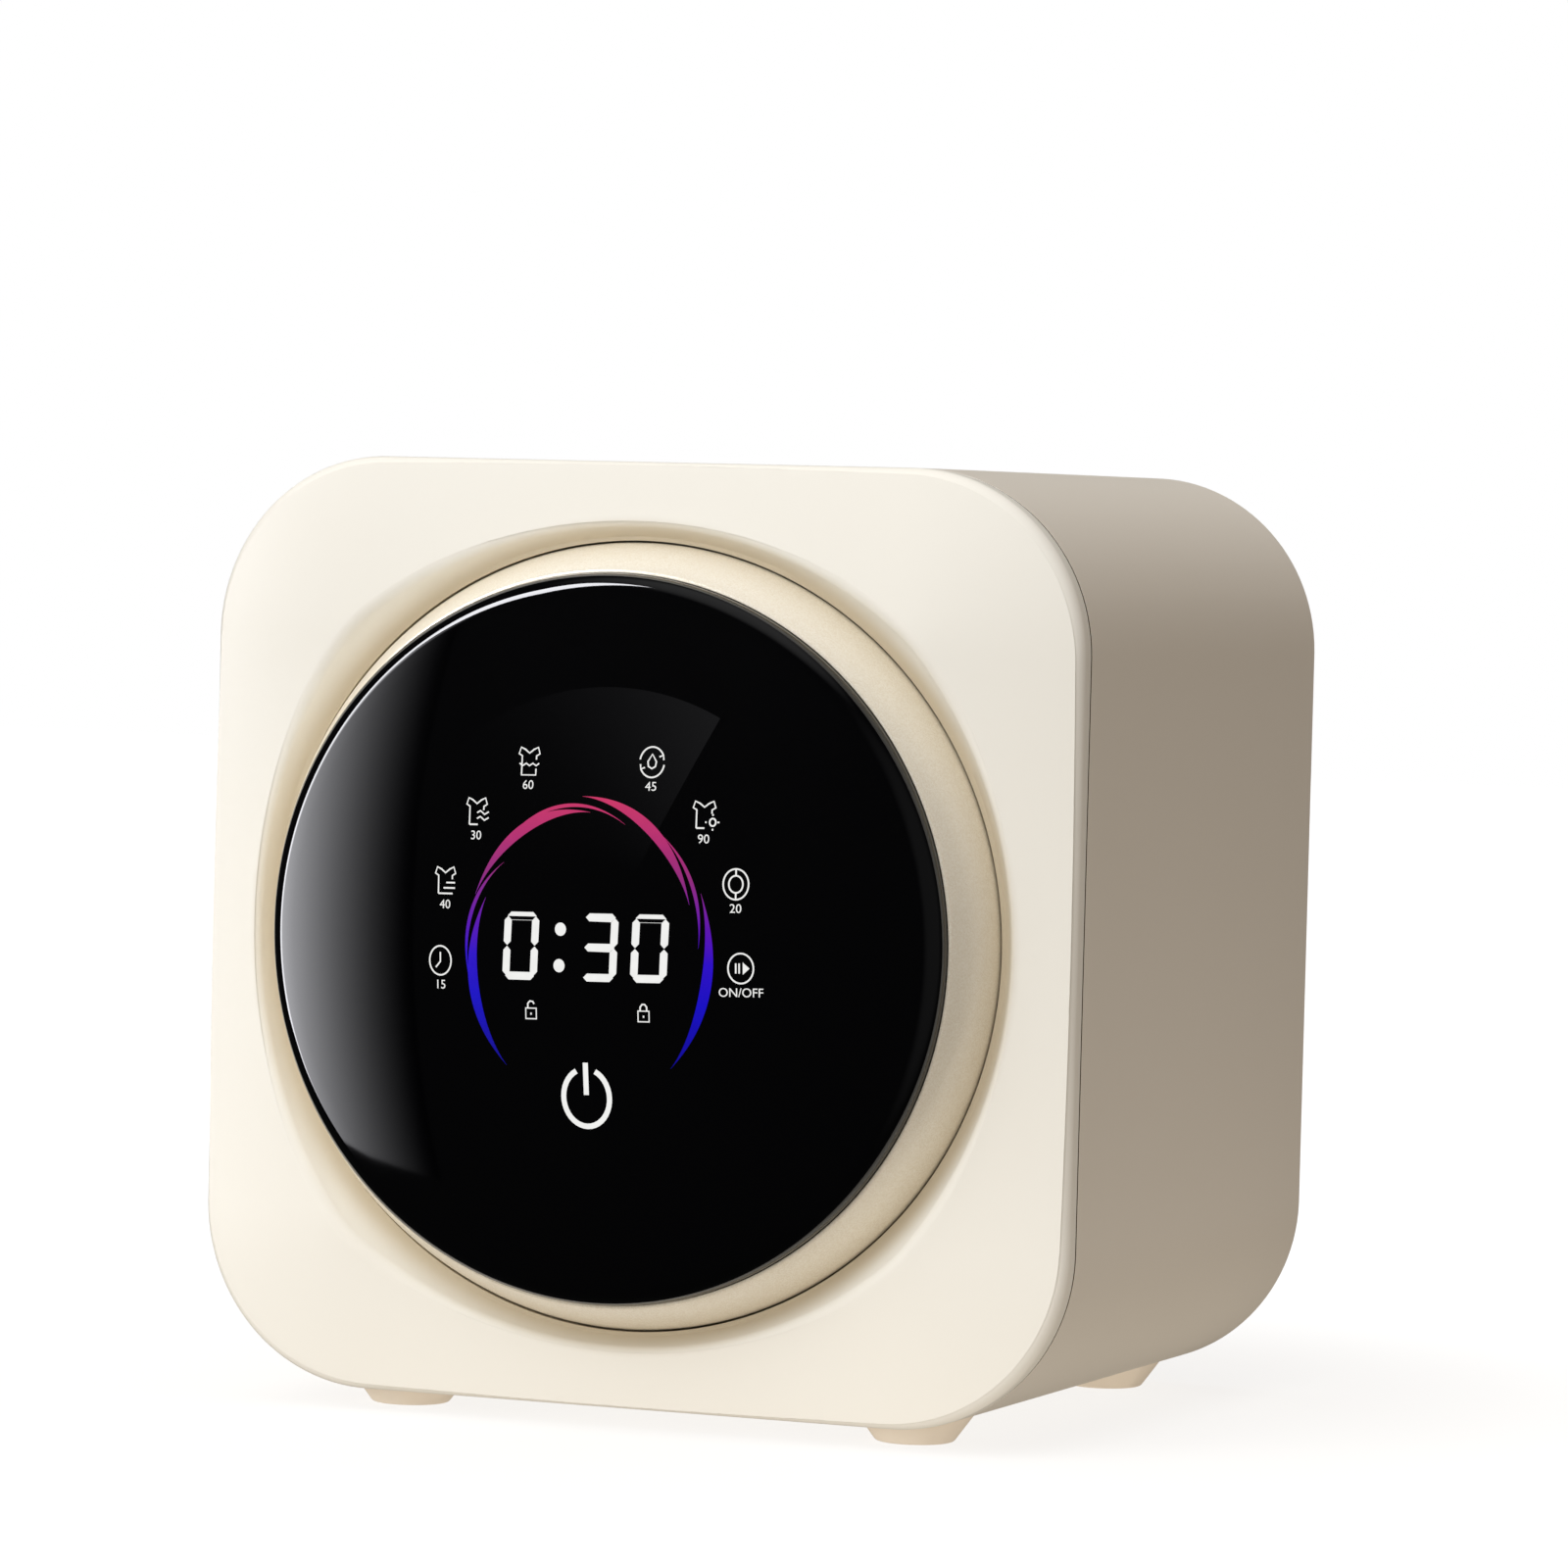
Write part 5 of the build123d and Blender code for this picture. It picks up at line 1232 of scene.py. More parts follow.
@dataclass
class Door:
    """The bright ring and the domed glass. Sizes are in millimetres."""

    layout: Layout
    points_round: int = 320
    sharpest: float = 40.0
    ring_radius: float = 150.2
    band: tuple[Flat, Flat, Flat] = ((150.2, 4.5), (146.1, -7.25), (140.2, -19.0))
    band_steps: int = 14
    lip: tuple[Flat, ...] = (
        (139.95, -19.45), (139.5, -19.72), (139.0, -19.8), (138.75, -19.65), (138.7, -19.3),
    )
    bore_radius: float = 138.7
    ledge_depth: float = -12.0
    ledge_wall: float = 2.8
    ledge_radius: float = 124.0
    band_inside: float = 141.6
    frame_radius: float = 145.5
    frame_front: float = 1.2
    skirt_depth: float = 5.8
    glass_radius: float = 138.6
    glass_wall: float = 4.0
    shoulder_round: float = 9.0
    shoulder_depth: float = -21.47
    shoulder_steps: int = 12
    dome_radius: float = 550.0
    dome_centre: float = 503.78
    dome_steps: int = 24

    def turned_piece(self, name: str, profile: Iterable[Flat]) -> Piece:
        """Turns a half section about the door's axis.

        Args:
            name: The piece's name.
            profile: The radius and depth of each loop.

        Returns:
            The piece.
        """
        sections = [self.layout.turned(radius, depth) for radius, depth in profile]
        piece = Loops(name, sections, self.points_round).build()
        smooth(piece, self.sharpest)
        return piece

    def ring(self) -> Piece:
        """The steep convex band from the joint line up to the glass, with its ledge inside.

        Returns:
            The ring.
        """
        ledge_back = self.ledge_depth + self.ledge_wall
        profile = [
            (self.ring_radius, self.skirt_depth),
            self.band[0],
            *arc_between(*self.band, self.band_steps),
            *self.lip,
            (self.bore_radius, self.ledge_depth),
            (self.ledge_radius, self.ledge_depth),
            (self.ledge_radius, ledge_back),
            (self.band_inside, ledge_back),
            (self.frame_radius, self.frame_front),
            (self.frame_radius, self.skirt_depth),
        ]
        return self.turned_piece("trim_ring", profile)

    def glass_profile(self, skin: float) -> list[Flat]:
        """The glass's half section, from its base to its crown.

        Args:
            skin: How far it is drawn in.

        Returns:
            The radius and depth of each point.
        """
        shoulder, dome = self.shoulder_round - skin, self.dome_radius - skin
        middle = self.glass_radius - self.shoulder_round
        lean = math.asin(middle / (self.dome_radius - self.shoulder_round))
        points = [(self.glass_radius - skin, self.ledge_depth)]
        for k in range(self.shoulder_steps + 1):
            turn = math.pi / 2 + (lean - math.pi / 2) * k / self.shoulder_steps
            depth = self.shoulder_depth - shoulder * math.cos(turn)
            points.append((middle + shoulder * math.sin(turn), depth))
        for k in range(1, self.dome_steps + 1):
            turn = lean * (1 - k / self.dome_steps)
            points.append((dome * math.sin(turn), self.dome_centre - dome * math.cos(turn)))
        return points

    def glass(self) -> Piece:
        """The domed cover glass with its soft shoulder and turned-down edge."""
        inside = self.glass_profile(self.glass_wall)[::-1]
        return self.turned_piece("cover_glass", self.glass_profile(0) + inside)

    def on_glass(self, x: float, z: float, lift: float) -> Point:
        """A point that stands a lift in front of the glass's outer face."""
        depth = self.dome_centre - math.sqrt(self.dome_radius**2 - x * x - z * z)
        return self.layout.at(x, depth - lift, z)

    def dress(self, carrier: Carrier) -> None:
        """Makes the ring and the glass and puts them in their CAD nodes' places."""
        carrier.dress(self.ring(), RING, "ring_paint", "door", ["door_ring"])
        carrier.dress(self.glass(), GLASS, "black_glass", "door", ["door_glass"])


# Display


def oval(
    x: float, z: float, half_x: float, half_z: float, start: float = 0, end: float = 360
) -> Stroke:
    """Points along an oval, or a part of it.

    Args:
        x: Its middle across.
        z: Its middle upwards.
        half_x: Half its width.
        half_z: Half its height.
        start: Where it starts, in degrees from its right end.
        end: Where it ends.

    Returns:
        The points.
    """
    steps = max(6, int(abs(end - start) / 9))
    turns = [math.radians(start + (end - start) * k / steps) for k in range(steps + 1)]
    return [(x + half_x * math.cos(turn), z + half_z * math.sin(turn)) for turn in turns]


def moved(line: Stroke, u: float, v: float) -> Stroke:
    """A line moved across and up."""
    return [(u + a, v + b) for a, b in line]


# A small shirt, about 8 by 10 mm, left open at its lower right for a second sign
SHIRT: Stroke = [
    (-3.0, -5.0), (-3.0, 1.8), (-4.4, 2.6), (-3.6, 5.0), (-1.8, 4.2), (0, 2.8),
    (1.8, 4.2), (3.6, 5.0), (4.4, 2.6), (3.0, 1.8), (3.0, 0.4),
]
LOCK_BODY: Stroke = [(-2.2, -3.2), (2.2, -3.2), (2.2, 0.8), (-2.2, 0.8), (-2.2, -3.2)]
KEYHOLE: Stroke = [(0, -0.9), (0, -1.7)]
START_ARROW: Stroke = [(0.8, 2.3), (3.4, 0), (0.8, -2.3)]


class Symbol(Enum):
    """The plain signs round the display, each as strokes in millimetres about its centre."""

    CLOCK = (oval(0, 0, 4.7, 5.5), [(0, 3.2), (0, -0.4), (-2.0, -2.6)])
    SHIRT_LINES = (
        SHIRT,
        [(-3.0, -5.0), (3.2, -5.0)],
        [(-0.8, -2.9), (4.2, -2.9)],
        [(0.4, -0.9), (4.2, -0.9)],
    )
    SHIRT_WAVES = (
        SHIRT,
        [(-3.0, -5.0), (0.6, -5.0)],
        [(0.2, -0.6), (1.6, 0.2), (3.4, -1.2), (5.2, -0.2)],
        [(0.2, -2.8), (1.6, -2.0), (3.4, -3.4), (5.2, -2.4)],
    )
    SHIRT_WATER = (
        SHIRT,
        [(-4.0, -1), (-2.6, -1.9), (-1.2, -1), (0.2, -1.9), (1.6, -1), (3.0, -1.9), (4.2, -1)],
        [(-3.0, -3.0), (-3.0, -5.4), (3.0, -5.4), (3.0, -3.0)],
    )
    DROP_ARROWS = (
        oval(0, 0, 4.9, 5.7, 25, 170),
        oval(0, 0, 4.9, 5.7, 205, 350),
        [(4.6, 0.8), (4.4, 2.6), (2.8, 2.0)],
        [(-4.6, -0.8), (-4.4, -2.6), (-2.8, -2.0)],
        [(0, 3.0), (-1.7, 0.2), (-1.4, -1.6), (0, -2.4), (1.4, -1.6), (1.7, 0.2), (0, 3.0)],
    )
    SHIRT_SUN = (
        SHIRT,
        [(-3.0, -5.0), (0.2, -5.0)],
        oval(3.4, -2.8, 1.2, 1.4),
        [(3.4, -0.4), (3.4, 0.3)],
        [(3.4, -5.2), (3.4, -5.9)],
        [(5.2, -2.8), (6.0, -2.8)],
        [(1.0, -2.8), (0.4, -2.8)],
    )
    DRUM = (
        oval(0, 0, 4.9, 5.7), oval(0, 0, 2.7, 3.2), [(0, 5.7), (0, 3.2)], [(0, -5.7), (0, -3.2)],
    )
    START_PAUSE = (oval(0, 0, 4.9, 5.6), [(-1.9, 1.9), (-1.9, -1.9)], [(-0.6, 1.9), (-0.6, -1.9)])
    LOCK_OPEN = (
        LOCK_BODY,
        [(-1.3, 0.8), (-1.3, 2.6), (-0.4, 3.5), (0.8, 3.3), (1.3, 2.4)],
        KEYHOLE,
    )
    LOCK_SHUT = (
        LOCK_BODY,
        [(-1.3, 0.8), (-1.3, 2.3), (-0.5, 3.3), (0.5, 3.3), (1.3, 2.3), (1.3, 0.8)],
        KEYHOLE,
    )
    POWER = (oval(0, 0, 9.4, 10.9, 114, 426), [(0, 13.2), (0, 1.0)])


# Each sign's place across and up from the display's middle, and the number or word below it
LABELLED_SIGNS: tuple[tuple[Symbol, float, float, str], ...] = (
    (Symbol.CLOCK, -61.7, -8.0, "15"),
    (Symbol.SHIRT_LINES, -59.7, 22.4, "40"),
    (Symbol.SHIRT_WAVES, -46.9, 48.7, "30"),
    (Symbol.SHIRT_WATER, -25.5, 68.0, "60"),
    (Symbol.DROP_ARROWS, 24.9, 68.0, "45"),
    (Symbol.SHIRT_SUN, 46.4, 48.7, "90"),
    (Symbol.DRUM, 59.4, 23.0, "20"),
    (Symbol.START_PAUSE, 61.5, -8.3, "ON/OFF"),
)


@dataclass(frozen=True)
class Crescent:
    """A tapered stroke of the coloured ring, by angles in degrees and shares of the ring's size."""

    start: float
    end: float
    from_share: float
    bulge: float
    to_share: float
    width: float


CRESCENTS = (
    Crescent(158, 89, 1.0, 0.0, 0.90, 3.9),
    Crescent(136, 70, 0.98, 0.03, 0.88, 1.3),
    Crescent(93, 22, 1.0, 0.0, 0.89, 4.1),
    Crescent(52, 4, 0.97, 0.025, 0.90, 1.4),
    Crescent(24, -46, 1.0, -0.01, 0.96, 4.1),
    Crescent(157, 226, 0.91, 0.02, 0.97, 4.1),
    Crescent(140, 190, 0.90, 0.05, 0.99, 1.4),
)


@dataclass
class Display:
    """The lit print behind the glass: figures, signs, numbers and the coloured ring."""

    door: Door
    centre_x: float = 3.3
    tilt: float = 1.4
    lift: float = 0.02
    thickness: float = 0.05
    drawn_thickness: float = 0.1
    curve_steps: int = 4
    line: float = 0.62
    label_size: float = 4.8
    label_drop: float = 9.2
    lock_level: float = -25.8
    lock_places: Flat = (-22.9, 23.2)
    figure_height: float = 25.6
    figure_width: float = 14.6
    figure_stroke: float = 3.0
    figure_slant: float = 0.05
    figure_level: float = -1.6
    figure_places: tuple[float, float, float] = (-27.0, 5.6, 25.8)
    dots: tuple[Flat, Flat] = ((-10.4, 5.0), (-11.0, -8.7))
    dot_half: Flat = (2.3, 2.5)
    power_place: Flat = (-0.9, -58.2)
    power_line: float = 2.1
    ring_width: float = 50.2
    ring_height: float = 60.0
    ring_centre: float = -5.0
    ring_steps: int = 40
    ring_taper: float = 1.3
    ring_tip: float = 0.04

    def place(self, u: float, v: float, lift: float) -> Point:
        """Lays a point of the layout on the glass.

        Args:
            u: The point across.
            v: The point upwards.
            lift: How far it stands in front.

        Returns:
            The point, turned by the layout's tilt.
        """
        turn = math.radians(self.tilt)
        x = self.centre_x + u * math.cos(turn) - v * math.sin(turn)
        return self.door.on_glass(x, u * math.sin(turn) + v * math.cos(turn), lift)

    def lay(self, piece: Piece) -> Piece:
        """Turns a flat drawing, in millimetres in X and Y, into thin print on the glass.

        Args:
            piece: The drawing.

        Returns:
            The print.
        """
        select_only(piece)
        bpy.ops.object.convert(target="MESH")
        bpy.ops.object.transform_apply(location=True, rotation=True, scale=True)
        piece = bpy.context.object
        heights = [vertex.co.z for vertex in piece.data.vertices]
        lowest, highest = min(heights), max(heights)
        for vertex in piece.data.vertices:
            share = (vertex.co.z - lowest) / max(highest - lowest, 1e-9)
            vertex.co = self.place(vertex.co.x, vertex.co.y, self.lift + self.thickness * share)
        tidy_shell(piece)
        return piece

    def trace(self, curve: bpy.types.Curve, lines: Iterable[Stroke], filled: bool) -> Piece:
        """Draws lines in a curve and lays it on the glass.

        Args:
            curve: The empty curve, set up.
            lines: The lines' points. A line that ends where it starts is closed there.
            filled: Whether every line is a closed outline that doesn't repeat its start.

        Returns:
            The print.
        """
        for line in lines:
            repeats = not filled and math.dist(line[0], line[-1]) < 1e-6
            points = line[:-1] if repeats else line
            spline = curve.splines.new("POLY")
            spline.points.add(len(points) - 1)
            for point, (u, v) in zip(spline.points, points):
                point.co = (u, v, 0, 1)
            spline.use_cyclic_u = filled or repeats
        piece = bpy.data.objects.new(curve.name, curve)
        bpy.context.scene.collection.objects.link(piece)
        return self.lay(piece)

    def strokes(self, name: str, lines: Iterable[Stroke], width: float) -> Piece:
        """Round-ended lines of one width.

        Args:
            name: The piece's name.
            lines: The lines' points.
            width: Their width.

        Returns:
            The print.
        """
        curve = bpy.data.curves.new(name, "CURVE")
        curve.dimensions = "3D"
        curve.bevel_depth = width / 2
        curve.bevel_resolution = 2
        curve.use_fill_caps = True
        return self.trace(curve, lines, filled=False)

    def fills(self, name: str, shapes: Iterable[Stroke]) -> Piece:
        """Filled flat shapes.

        Args:
            name: The piece's name.
            shapes: Their closed outlines.

        Returns:
            The print.
        """
        curve = bpy.data.curves.new(name, "CURVE")
        curve.dimensions = "2D"
        curve.fill_mode = "BOTH"
        curve.extrude = self.drawn_thickness
        return self.trace(curve, shapes, filled=True)

    def sign(self, symbol: Symbol, u: float, v: float, width: float) -> Piece:
        """A sign in strokes of one width.

        Args:
            symbol: The sign.
            u: Its middle across.
            v: Its middle upwards.
            width: The strokes' width.

        Returns:
            The print.
        """
        lines = [moved(line, u, v) for line in symbol.value]
        return self.strokes(f"sign_{symbol.name.lower()}", lines, width)

    def label(self, name: str, text: str, u: float, v: float) -> Piece:
        """A short plain number or word.

        Args:
            name: The piece's name.
            text: The characters.
            u: The middle across.
            v: The middle upwards.

        Returns:
            The print.
        """
        bpy.ops.object.select_all(action="DESELECT")
        bpy.ops.object.text_add()
        piece = bpy.context.object
        piece.name = name
        piece.data.body = text
        piece.data.size = self.label_size
        piece.data.align_x = "CENTER"
        piece.data.align_y = "CENTER"
        piece.data.extrude = self.drawn_thickness
        piece.data.resolution_u = self.curve_steps
        piece.location = (u, v, 0)
        return self.lay(piece)

    def figure(self, bars: str, u: float) -> list[Stroke]:
        """The bars of one figure.

        Args:
            bars: The letters of the bars that are lit, from a at the top to g in the middle.
            u: The figure's middle across.

        Returns:
            The bars' outlines, with mitred ends, slanted about the figure's middle.
        """
        side = self.figure_stroke / 2
        half_w, half_h = self.figure_width / 2 - side, self.figure_height / 2 - side
        # The level bars overlap the mitres a little, and the upright ones stop short of them
        across, up = 2 * half_w + 0.6, half_h - 0.3
        places = {
            "a": (0, half_h, across, True),
            "b": (half_w, half_h / 2, up, False),
            "c": (half_w, -half_h / 2, up, False),
            "d": (0, -half_h, across, True),
            "e": (-half_w, -half_h / 2, up, False),
            "f": (-half_w, half_h / 2, up, False),
            "g": (0, 0, across, True),
        }
        outlines = []
        for x, z, length, level in (places[bar] for bar in bars):
            end, mitre = length / 2, length / 2 - side
            bar = [(-end, 0), (-mitre, side), (mitre, side), (end, 0)]
            bar += [(mitre, -side), (-mitre, -side)]
            if not level:
                bar = [(b, a) for a, b in bar]
            v = self.figure_level
            outlines.append([(u + x + a + self.figure_slant * (z + b), v + z + b) for a, b in bar])
        return outlines

    def crescent(self, shape: Crescent) -> Stroke:
        """The outline of one tapered stroke of the ring.

        Args:
            shape: The stroke.

        Returns:
            Its outline.
        """
        outer, inner = [], []
        for k in range(self.ring_steps + 1):
            share = k / self.ring_steps
            swell = math.sin(math.pi * share)
            turn = math.radians(shape.start + (shape.end - shape.start) * share)
            level = shape.from_share + (shape.to_share - shape.from_share) * share
            level += shape.bulge * swell
            half = shape.width / 2 * swell**self.ring_taper + self.ring_tip
            for side, points in ((half, outer), (-half, inner)):
                across = self.ring_width * level + side
                up = self.ring_height * level + side
                points.append((across * math.cos(turn), self.ring_centre + up * math.sin(turn)))
        return outer + inner[::-1]

    def ring(self) -> Piece:
        """The coloured ring of tapered strokes, open at the bottom.

        Returns:
            The print.
        """
        outlines = [self.crescent(shape) for shape in CRESCENTS]
        pieces = [self.fills(f"display_ring_stroke_{k}", [o]) for k, o in enumerate(outlines)]
        return join("display_ring", pieces)

    def signs(self) -> Piece:
        """The signs, numbers and locks in white.

        Returns:
            The print.
        """
        pieces = []
        for symbol, u, v, text in LABELLED_SIGNS:
            pieces.append(self.sign(symbol, u, v, self.line))
            name = f"label_{symbol.name.lower()}"
            pieces.append(self.label(name, text, u, v - self.label_drop))
            if symbol is Symbol.START_PAUSE:
                pieces.append(self.fills("sign_start_arrow", [moved(START_ARROW, u, v)]))
        for symbol, u in zip((Symbol.LOCK_OPEN, Symbol.LOCK_SHUT), self.lock_places):
            pieces.append(self.sign(symbol, u, self.lock_level, self.line))
        return join("display_signs", pieces)

    def figures(self) -> Piece:
        """The time in bar figures, with the power sign below.

        Returns:
            The print.
        """
        shapes = []
        for bars, u in zip(("abcdef", "abgcd", "abcdef"), self.figure_places):
            shapes += self.figure(bars, u)
        shapes += [oval(*dot, *self.dot_half)[:-1] for dot in self.dots]
        figures = self.fills("display_time", shapes)
        power = self.sign(Symbol.POWER, *self.power_place, self.power_line)
        return join("display_figures", [figures, power])

    def dress(self, carrier: Carrier) -> None:
        """Makes the print and puts it on the door.

        Args:
            carrier: What dresses it.
        """
        carrier.dress(self.figures(), WHITE_PRINT, "display", "door")
        carrier.dress(self.signs(), WHITE_PRINT, "display", "door")
        carrier.dress(self.ring(), COLOURED_PRINT, "display", "door")


# Studio


@dataclass(frozen=True)
class Patch:
    """A round soft patch of light in the surroundings, with the cosines of its two edges."""

    direction: Point
    begins: float
    full: float
    strength: float
    beyond: float = 0.012

    def light(self, tree: Tree, way: Socket) -> Node:
        """What the patch gives in each direction.

        Args:
            tree: The world's nodes.
            way: The direction that is looked at.

        Returns:
            The patch's light.
        """
        middle = {0: way, 1: Vector(self.direction).normalized()}
        near = add_node(tree, "ShaderNodeVectorMath", middle, operation="DOT_PRODUCT")
        fade = {
            "Value": near,
            "From Min": self.begins,
            "From Max": self.full,
            "To Min": self.beyond,
            "To Max": self.strength,
        }
        return add_node(tree, "ShaderNodeMapRange", fade, interpolation_type="SMOOTHSTEP")


@dataclass(frozen=True)
class Lamp:
    """A soft lamp in the upright plane before the object, which shows only in gloss.

    Its edges are shares of the plane's distance, from the middle of the view and from the door's
    axis. A fade of 0 keeps it even, and more makes it fall to nothing towards its right edge.
    """

    name: str
    left: float
    right: float
    low: float
    high: float
    strength: float
    fade: float = 0.0


@dataclass
class Studio:
    """Floor, soft lights, white surroundings and the camera. Lengths are in metres."""

    yaw: float = 22.69
    pitch: float = 2.13
    roll: float = 1.45
    camera_place: Point = (1.10278, -2.60859, 0.35005)
    focal_pixels: float = 7301.3
    picture_pixels: float = 1600.0
    sensor: float = 36.0
    lamp_distance: float = 1.6
    lamp_limit: float = 20.0
    lamp_colour: str = "#FAFAFF"
    lamps: tuple[Lamp, ...] = (
        Lamp("key_lamp", -1.7, -0.81, -0.537, 0.75, strength=22.0, fade=2.0),
        Lamp("edge_lamp", -2.1, -1.4, -0.45, 1.9, strength=19.0),
        Lamp("top_lamp", -1.4, -0.75, 0.84, 2.6, strength=20.0),
    )
    key_direction: Point = (-0.29, -0.84, 0.46)
    key_narrowness: float = 8.0
    key_strength: float = 3.35
    fill_strength: float = 0.27
    dim_colour: str = "#FFDDB8"
    sky: Patch = Patch((0.0, -0.1, 0.99), begins=0.75, full=1.0, strength=1.5)
    overhead: Patch = Patch((0.0, -0.05, 0.99), begins=0.8, full=0.99, strength=0.4)
    beside: Patch = Patch((0.93, -0.36, 0.1), begins=0.6, full=0.95, strength=0.12)
    floor_size: float = 14.0
    floor_drop: float = 0.0002
    floor_colour: str = "#F6F4F0"
    bounce_colour: str = "#FFF4E6"
    bounce_share: float = 0.85
    bounce_near: tuple[Flat, Flat] = ((0.22, 0.78), (0.8, 0.22))
    seen_strength: float = 1.1
    seen_white: tuple[Flat, Flat] = ((0.25, 0.7), (0.6, 1.0))

    def camera(self) -> None:
        """The camera at the photograph's viewing angle."""
        yaw, pitch, roll = (math.radians(value) for value in (self.yaw, self.pitch, self.roll))
        ahead = math.cos(pitch)
        forward = Vector((-math.sin(yaw) * ahead, math.cos(yaw) * ahead, -math.sin(pitch)))
        level = Vector((math.cos(yaw), math.sin(yaw), 0))
        right = level * math.cos(roll) + level.cross(forward) * math.sin(roll)
        up = right.cross(forward)
        data = bpy.data.cameras.new("camera")
        data.sensor_width = self.sensor
        data.lens = self.focal_pixels / self.picture_pixels * self.sensor
        data.clip_start, data.clip_end = 0.05, 60.0
        camera = bpy.data.objects.new("camera", data)
        turn = Matrix((right, up, -forward)).transposed().to_4x4()
        camera.matrix_world = Matrix.Translation(self.camera_place) @ turn
        bpy.context.scene.collection.objects.link(camera)
        bpy.context.scene.camera = camera

    def surroundings(self) -> None:
        """White to the eye, a soft lobe of light from the front left, and dim patches for gloss."""
        world = bpy.data.worlds.new("studio")
        bpy.context.scene.world = world
        world.use_nodes = True
        tree = world.node_tree
        tree.nodes.clear()
        path = add_node(tree, "ShaderNodeLightPath").outputs
        way = add_node(tree, "ShaderNodeTexCoord").outputs["Generated"]
        rays = {0: path["Is Camera Ray"], 1: path["Is Transmission Ray"]}
        seen = add_node(tree, "ShaderNodeMath", rays, operation="MAXIMUM")
        key = {0: way, 1: Vector(self.key_direction).normalized()}
        toward = add_node(tree, "ShaderNodeVectorMath", key, operation="DOT_PRODUCT")
        ahead = add_node(tree, "ShaderNodeMath", {0: toward, 1: 0.0}, operation="MAXIMUM")
        narrow = {0: ahead, 1: self.key_narrowness}
        lobe = add_node(tree, "ShaderNodeMath", narrow, operation="POWER")
        levels = {0: lobe, 1: self.key_strength, 2: self.fill_strength}
        level = add_node(tree, "ShaderNodeMath", levels, operation="MULTIPLY_ADD")
        sky = self.sky.light(tree, way)
        total = add_node(tree, "ShaderNodeMath", {0: level, 1: sky}, operation="ADD")
        tints = {"Factor": total, "A": hex_to_linear(self.dim_colour), "B": WHITE}
        tint = add_node(tree, "ShaderNodeMix", tints, data_type="RGBA")
        soft = add_node(tree, "ShaderNodeBackground", {"Color": tint, "Strength": total})
        patches = {0: self.overhead.light(tree, way), 1: self.beside.light(tree, way)}
        sheen = add_node(tree, "ShaderNodeMath", patches, operation="ADD")
        mirrored = add_node(tree, "ShaderNodeBackground", {"Color": WHITE, "Strength": sheen})
        white = add_node(tree, "ShaderNodeBackground", {"Color": WHITE, "Strength": 1.0})
        gloss = {0: path["Is Glossy Ray"], 1: soft, 2: mirrored}
        lit = add_node(tree, "ShaderNodeMixShader", gloss)
        both = add_node(tree, "ShaderNodeMixShader", {0: seen, 1: lit, 2: white})
        add_node(tree, "ShaderNodeOutputWorld", {"Surface": both})

    def floor(self) -> None:
        """A pale floor that keeps the object's soft shadow and turns white away from it."""
        bpy.ops.object.select_all(action="DESELECT")
        place = (0, 0, -self.floor_drop)
        bpy.ops.mesh.primitive_plane_add(size=self.floor_size, location=place)
        floor = bpy.context.object
        floor.name = "floor"
        material = bpy.data.materials.new("studio_floor")
        material.use_nodes = True
        tree = material.node_tree
        tree.nodes.clear()
        path = add_node(tree, "ShaderNodeLightPath").outputs
        seen = path["Is Camera Ray"]
        spot = add_node(tree, "ShaderNodeTexCoord").outputs["Object"]
        away = add_node(tree, "ShaderNodeVectorMath", {0: spot}, operation="LENGTH")
        white, near = (
            add_node(
                tree,
                "ShaderNodeMapRange",
                {"Value": away, "From Min": a, "To Min": b, "From Max": c, "To Max": d},
                interpolation_type="SMOOTHSTEP",
            )
            for (a, b), (c, d) in (self.seen_white, self.bounce_near)
        )
        bounce = {0: path["Is Diffuse Ray"], 1: self.bounce_share}
        bounced = add_node(tree, "ShaderNodeMath", bounce, operation="MULTIPLY")
        levels = {"Factor": seen, "A": near, "B": self.seen_strength}
        strength = add_node(tree, "ShaderNodeMix", levels, data_type="FLOAT")
        shares = {0: seen, 1: white, 2: bounced}
        share = add_node(tree, "ShaderNodeMath", shares, operation="MULTIPLY_ADD")
        paper = add_node(tree, "ShaderNodeBsdfDiffuse", {"Color": hex_to_linear(self.floor_colour)})
        tones = {"Factor": seen, "A": hex_to_linear(self.bounce_colour), "B": WHITE}
        warmth = add_node(tree, "ShaderNodeMix", tones, data_type="RGBA")
        glow = add_node(tree, "ShaderNodeEmission", {"Color": warmth, "Strength": strength})
        both = add_node(tree, "ShaderNodeMixShader", {0: share, 1: paper, 2: glow})
        add_node(tree, "ShaderNodeOutputMaterial", {"Surface": both})
        floor.data.materials.append(material)
        floor.visible_glossy = False

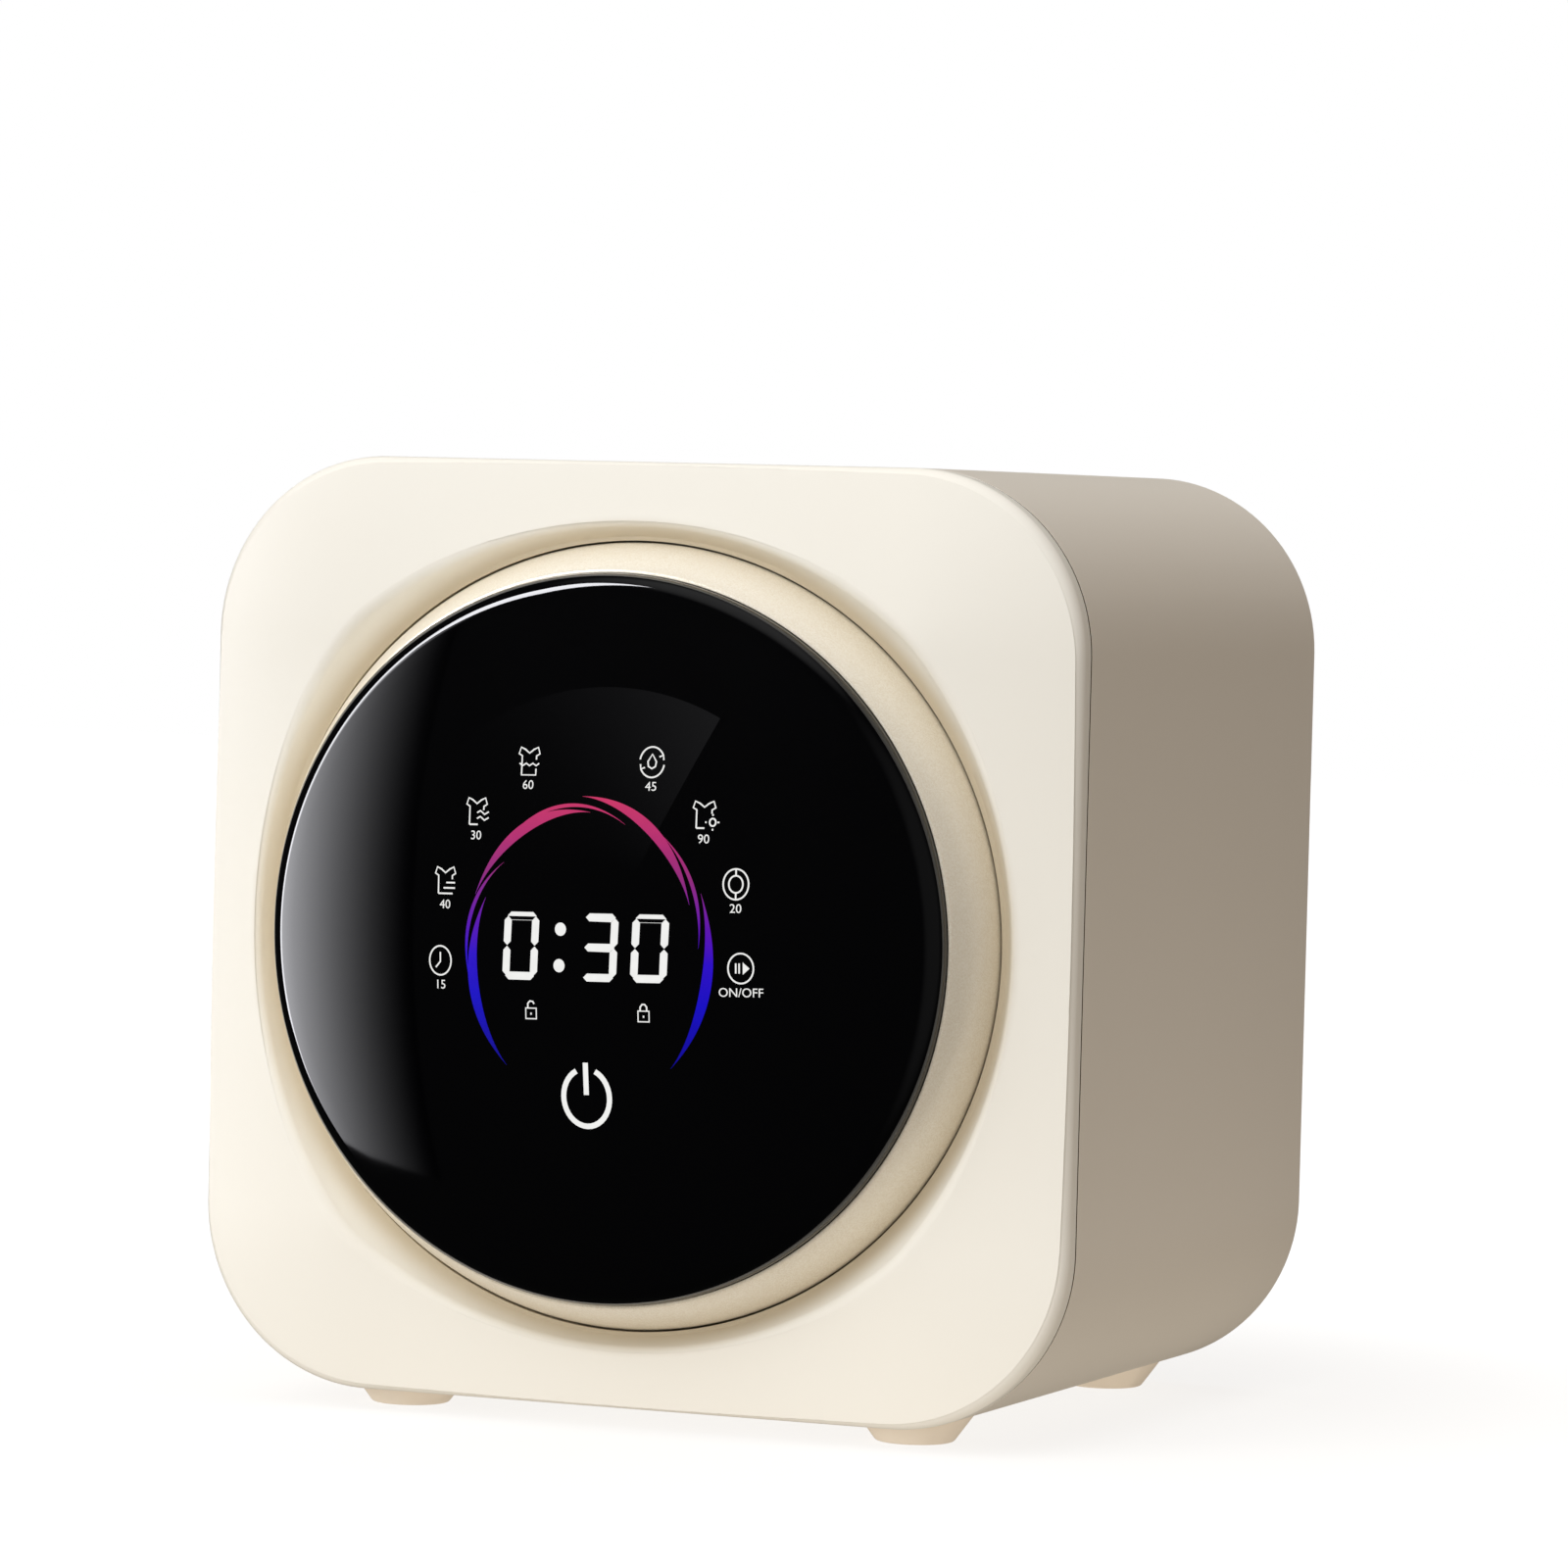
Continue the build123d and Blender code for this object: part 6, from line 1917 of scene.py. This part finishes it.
    def softbox(self, box: Lamp) -> None:
        """Hangs a soft lamp that neither the camera nor matt surfaces see.

        Args:
            box: The lamp.
        """
        reach = self.lamp_distance
        bpy.ops.object.select_all(action="DESELECT")
        bpy.ops.mesh.primitive_plane_add(size=1.0)
        lamp = bpy.context.object
        lamp.name = box.name
        across, upward = (box.left + box.right) / 2, (box.low + box.high) / 2
        size = ((box.right - box.left) * reach, (box.high - box.low) * reach, 1, 1)
        middle = Vector((across * reach, -reach, AXIS_HEIGHT + upward * reach))
        upright = Matrix.Rotation(math.pi / 2, 4, "X")
        lamp.matrix_world = Matrix.Translation(middle) @ upright @ Matrix.Diagonal(size)
        material = bpy.data.materials.new(box.name)
        material.use_nodes = True
        tree = material.node_tree
        tree.nodes.clear()
        place = add_node(tree, "ShaderNodeTexCoord").outputs["Object"]
        side = add_node(tree, "ShaderNodeSeparateXYZ", {"Vector": place}).outputs["X"]
        least = 0.0 if box.fade else 1.0
        fall = {"Value": side, "From Min": 0.5, "From Max": -0.5, "To Min": least, "To Max": 1.0}
        share = add_node(tree, "ShaderNodeMapRange", fall)
        steep = {0: share, 1: max(box.fade, 1.0)}
        rise = add_node(tree, "ShaderNodeMath", steep, operation="POWER")
        full = add_node(tree, "ShaderNodeMath", {0: rise, 1: box.strength}, operation="MULTIPLY")
        level = add_node(tree, "ShaderNodeMath", {0: full, 1: self.lamp_limit}, operation="MINIMUM")
        glow = {"Color": hex_to_linear(self.lamp_colour), "Strength": level}
        light = add_node(tree, "ShaderNodeEmission", glow)
        add_node(tree, "ShaderNodeOutputMaterial", {"Surface": light})
        lamp.data.materials.append(material)
        lamp.visible_camera = False
        lamp.visible_shadow = False
        lamp.visible_transmission = False
        lamp.visible_diffuse = False

    def build(self) -> None:
        """Makes camera, surroundings, floor and lamps."""
        self.camera()
        self.surroundings()
        self.floor()
        for lamp in self.lamps:
            self.softbox(lamp)
        bpy.context.scene.view_settings.view_transform = "Standard"


# CAD nodes that are shown through a smooth copy, with finish and slot
SMOOTHED: dict[str, tuple[Finish, str]] = {
    "rear_cover": (COVER, "cover_plastic"),
    "rear_cover_screws": (ZINC, "zinc_steel"),
    "foot_screws": (ZINC, "zinc_steel"),
    "door_gasket": (GREY_RUBBER, "grey_rubber"),
    "tub_front": (TUB, "tub_plastic"),
    "door_inner_frame": (INNER, "inner_plastic"),
    "door_frame_screws": (ZINC, "zinc_steel"),
    "door_fitting_screws": (ZINC, "zinc_steel"),
    "door_bowl": (BOWL, "bowl_plastic"),
    "hinge_arm": (ZINC, "zinc_steel"),
    "hinge_pin": (STEEL, "steel"),
    "door_strike": (ZINC, "zinc_steel"),
    "drum_shell": (STAINLESS, "stainless"),
    "drum_front_ring": (STAINLESS, "stainless"),
    "drum_back": (STAINLESS, "stainless"),
    "drum_lifters": (FITTING, "fitting_plastic"),
    "drain_spigot": (FITTING, "fitting_plastic"),
    "inlet_valve": (FITTING, "fitting_plastic"),
    "power_gland": (DARK, "dark_plastic"),
}

# CAD nodes inside the cabinet and the door that stay in view as they are
PAINTED: dict[str, Finish] = {
    "hinge_bracket": ZINC,
    "door_lock": DARK,
    "machine_screws": ZINC,
    "tub_rear": TUB,
    "tub_screws": ZINC,
    "tub_mounts": BLACK_RUBBER,
    "shaft_seal": BLACK_RUBBER,
    "drum_bearings": STEEL,
    "wash_heater": STAINLESS,
    "motor": MOTOR,
    "motor_bracket": ZINC,
    "drive_belt": BLACK_RUBBER,
    "blower_housing": DUCT,
    "air_duct": DUCT,
    "air_heater": CAST,
    "drain_pump": FITTING,
    "pump_motor": MOTOR,
    "sump_hose": BLACK_RUBBER,
    "drain_hose": BLACK_RUBBER,
    "fill_hose": BLACK_RUBBER,
    "control_tray": FITTING,
    "control_board": BOARD,
    "display_carrier": DARK,
    "touch_board": BOARD,
    "display_module": MODULE,
    "lock_bolt": STEEL,
    "drum_spider": CAST,
    "drum_shaft": STEEL,
    "drum_pulley": CAST,
    "motor_rotor": STEEL,
    "motor_pulley": STEEL,
    "blower_impeller": FITTING,
    "pump_impeller": FITTING,
}


def main(frame: dict) -> None:
    """Builds and dresses every piece.
    """
    logging.basicConfig(level=logging.INFO, format="%(name)s %(message)s")
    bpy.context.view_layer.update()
    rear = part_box("side_casing")[1]
    layout = Layout(rear.y - Cabinet.rear * MM, rear.z - Cabinet.half_height * MM)
    riders = frame["record"]["behaviour"]["bodies"].items()
    carrier = Carrier(frame["nodes"], {node: body for body, names in riders for node in names})
    Studio().build()
    door = Door(layout)
    for assembly in (Cabinet(layout), door, Display(door)):
        assembly.dress(carrier)
    for node, (finish, slot) in SMOOTHED.items():
        carrier.refine(node, finish, slot)
    for node, finish in PAINTED.items():
        carrier.paint(node, finish)


if __name__ == "__main__":
    main(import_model())
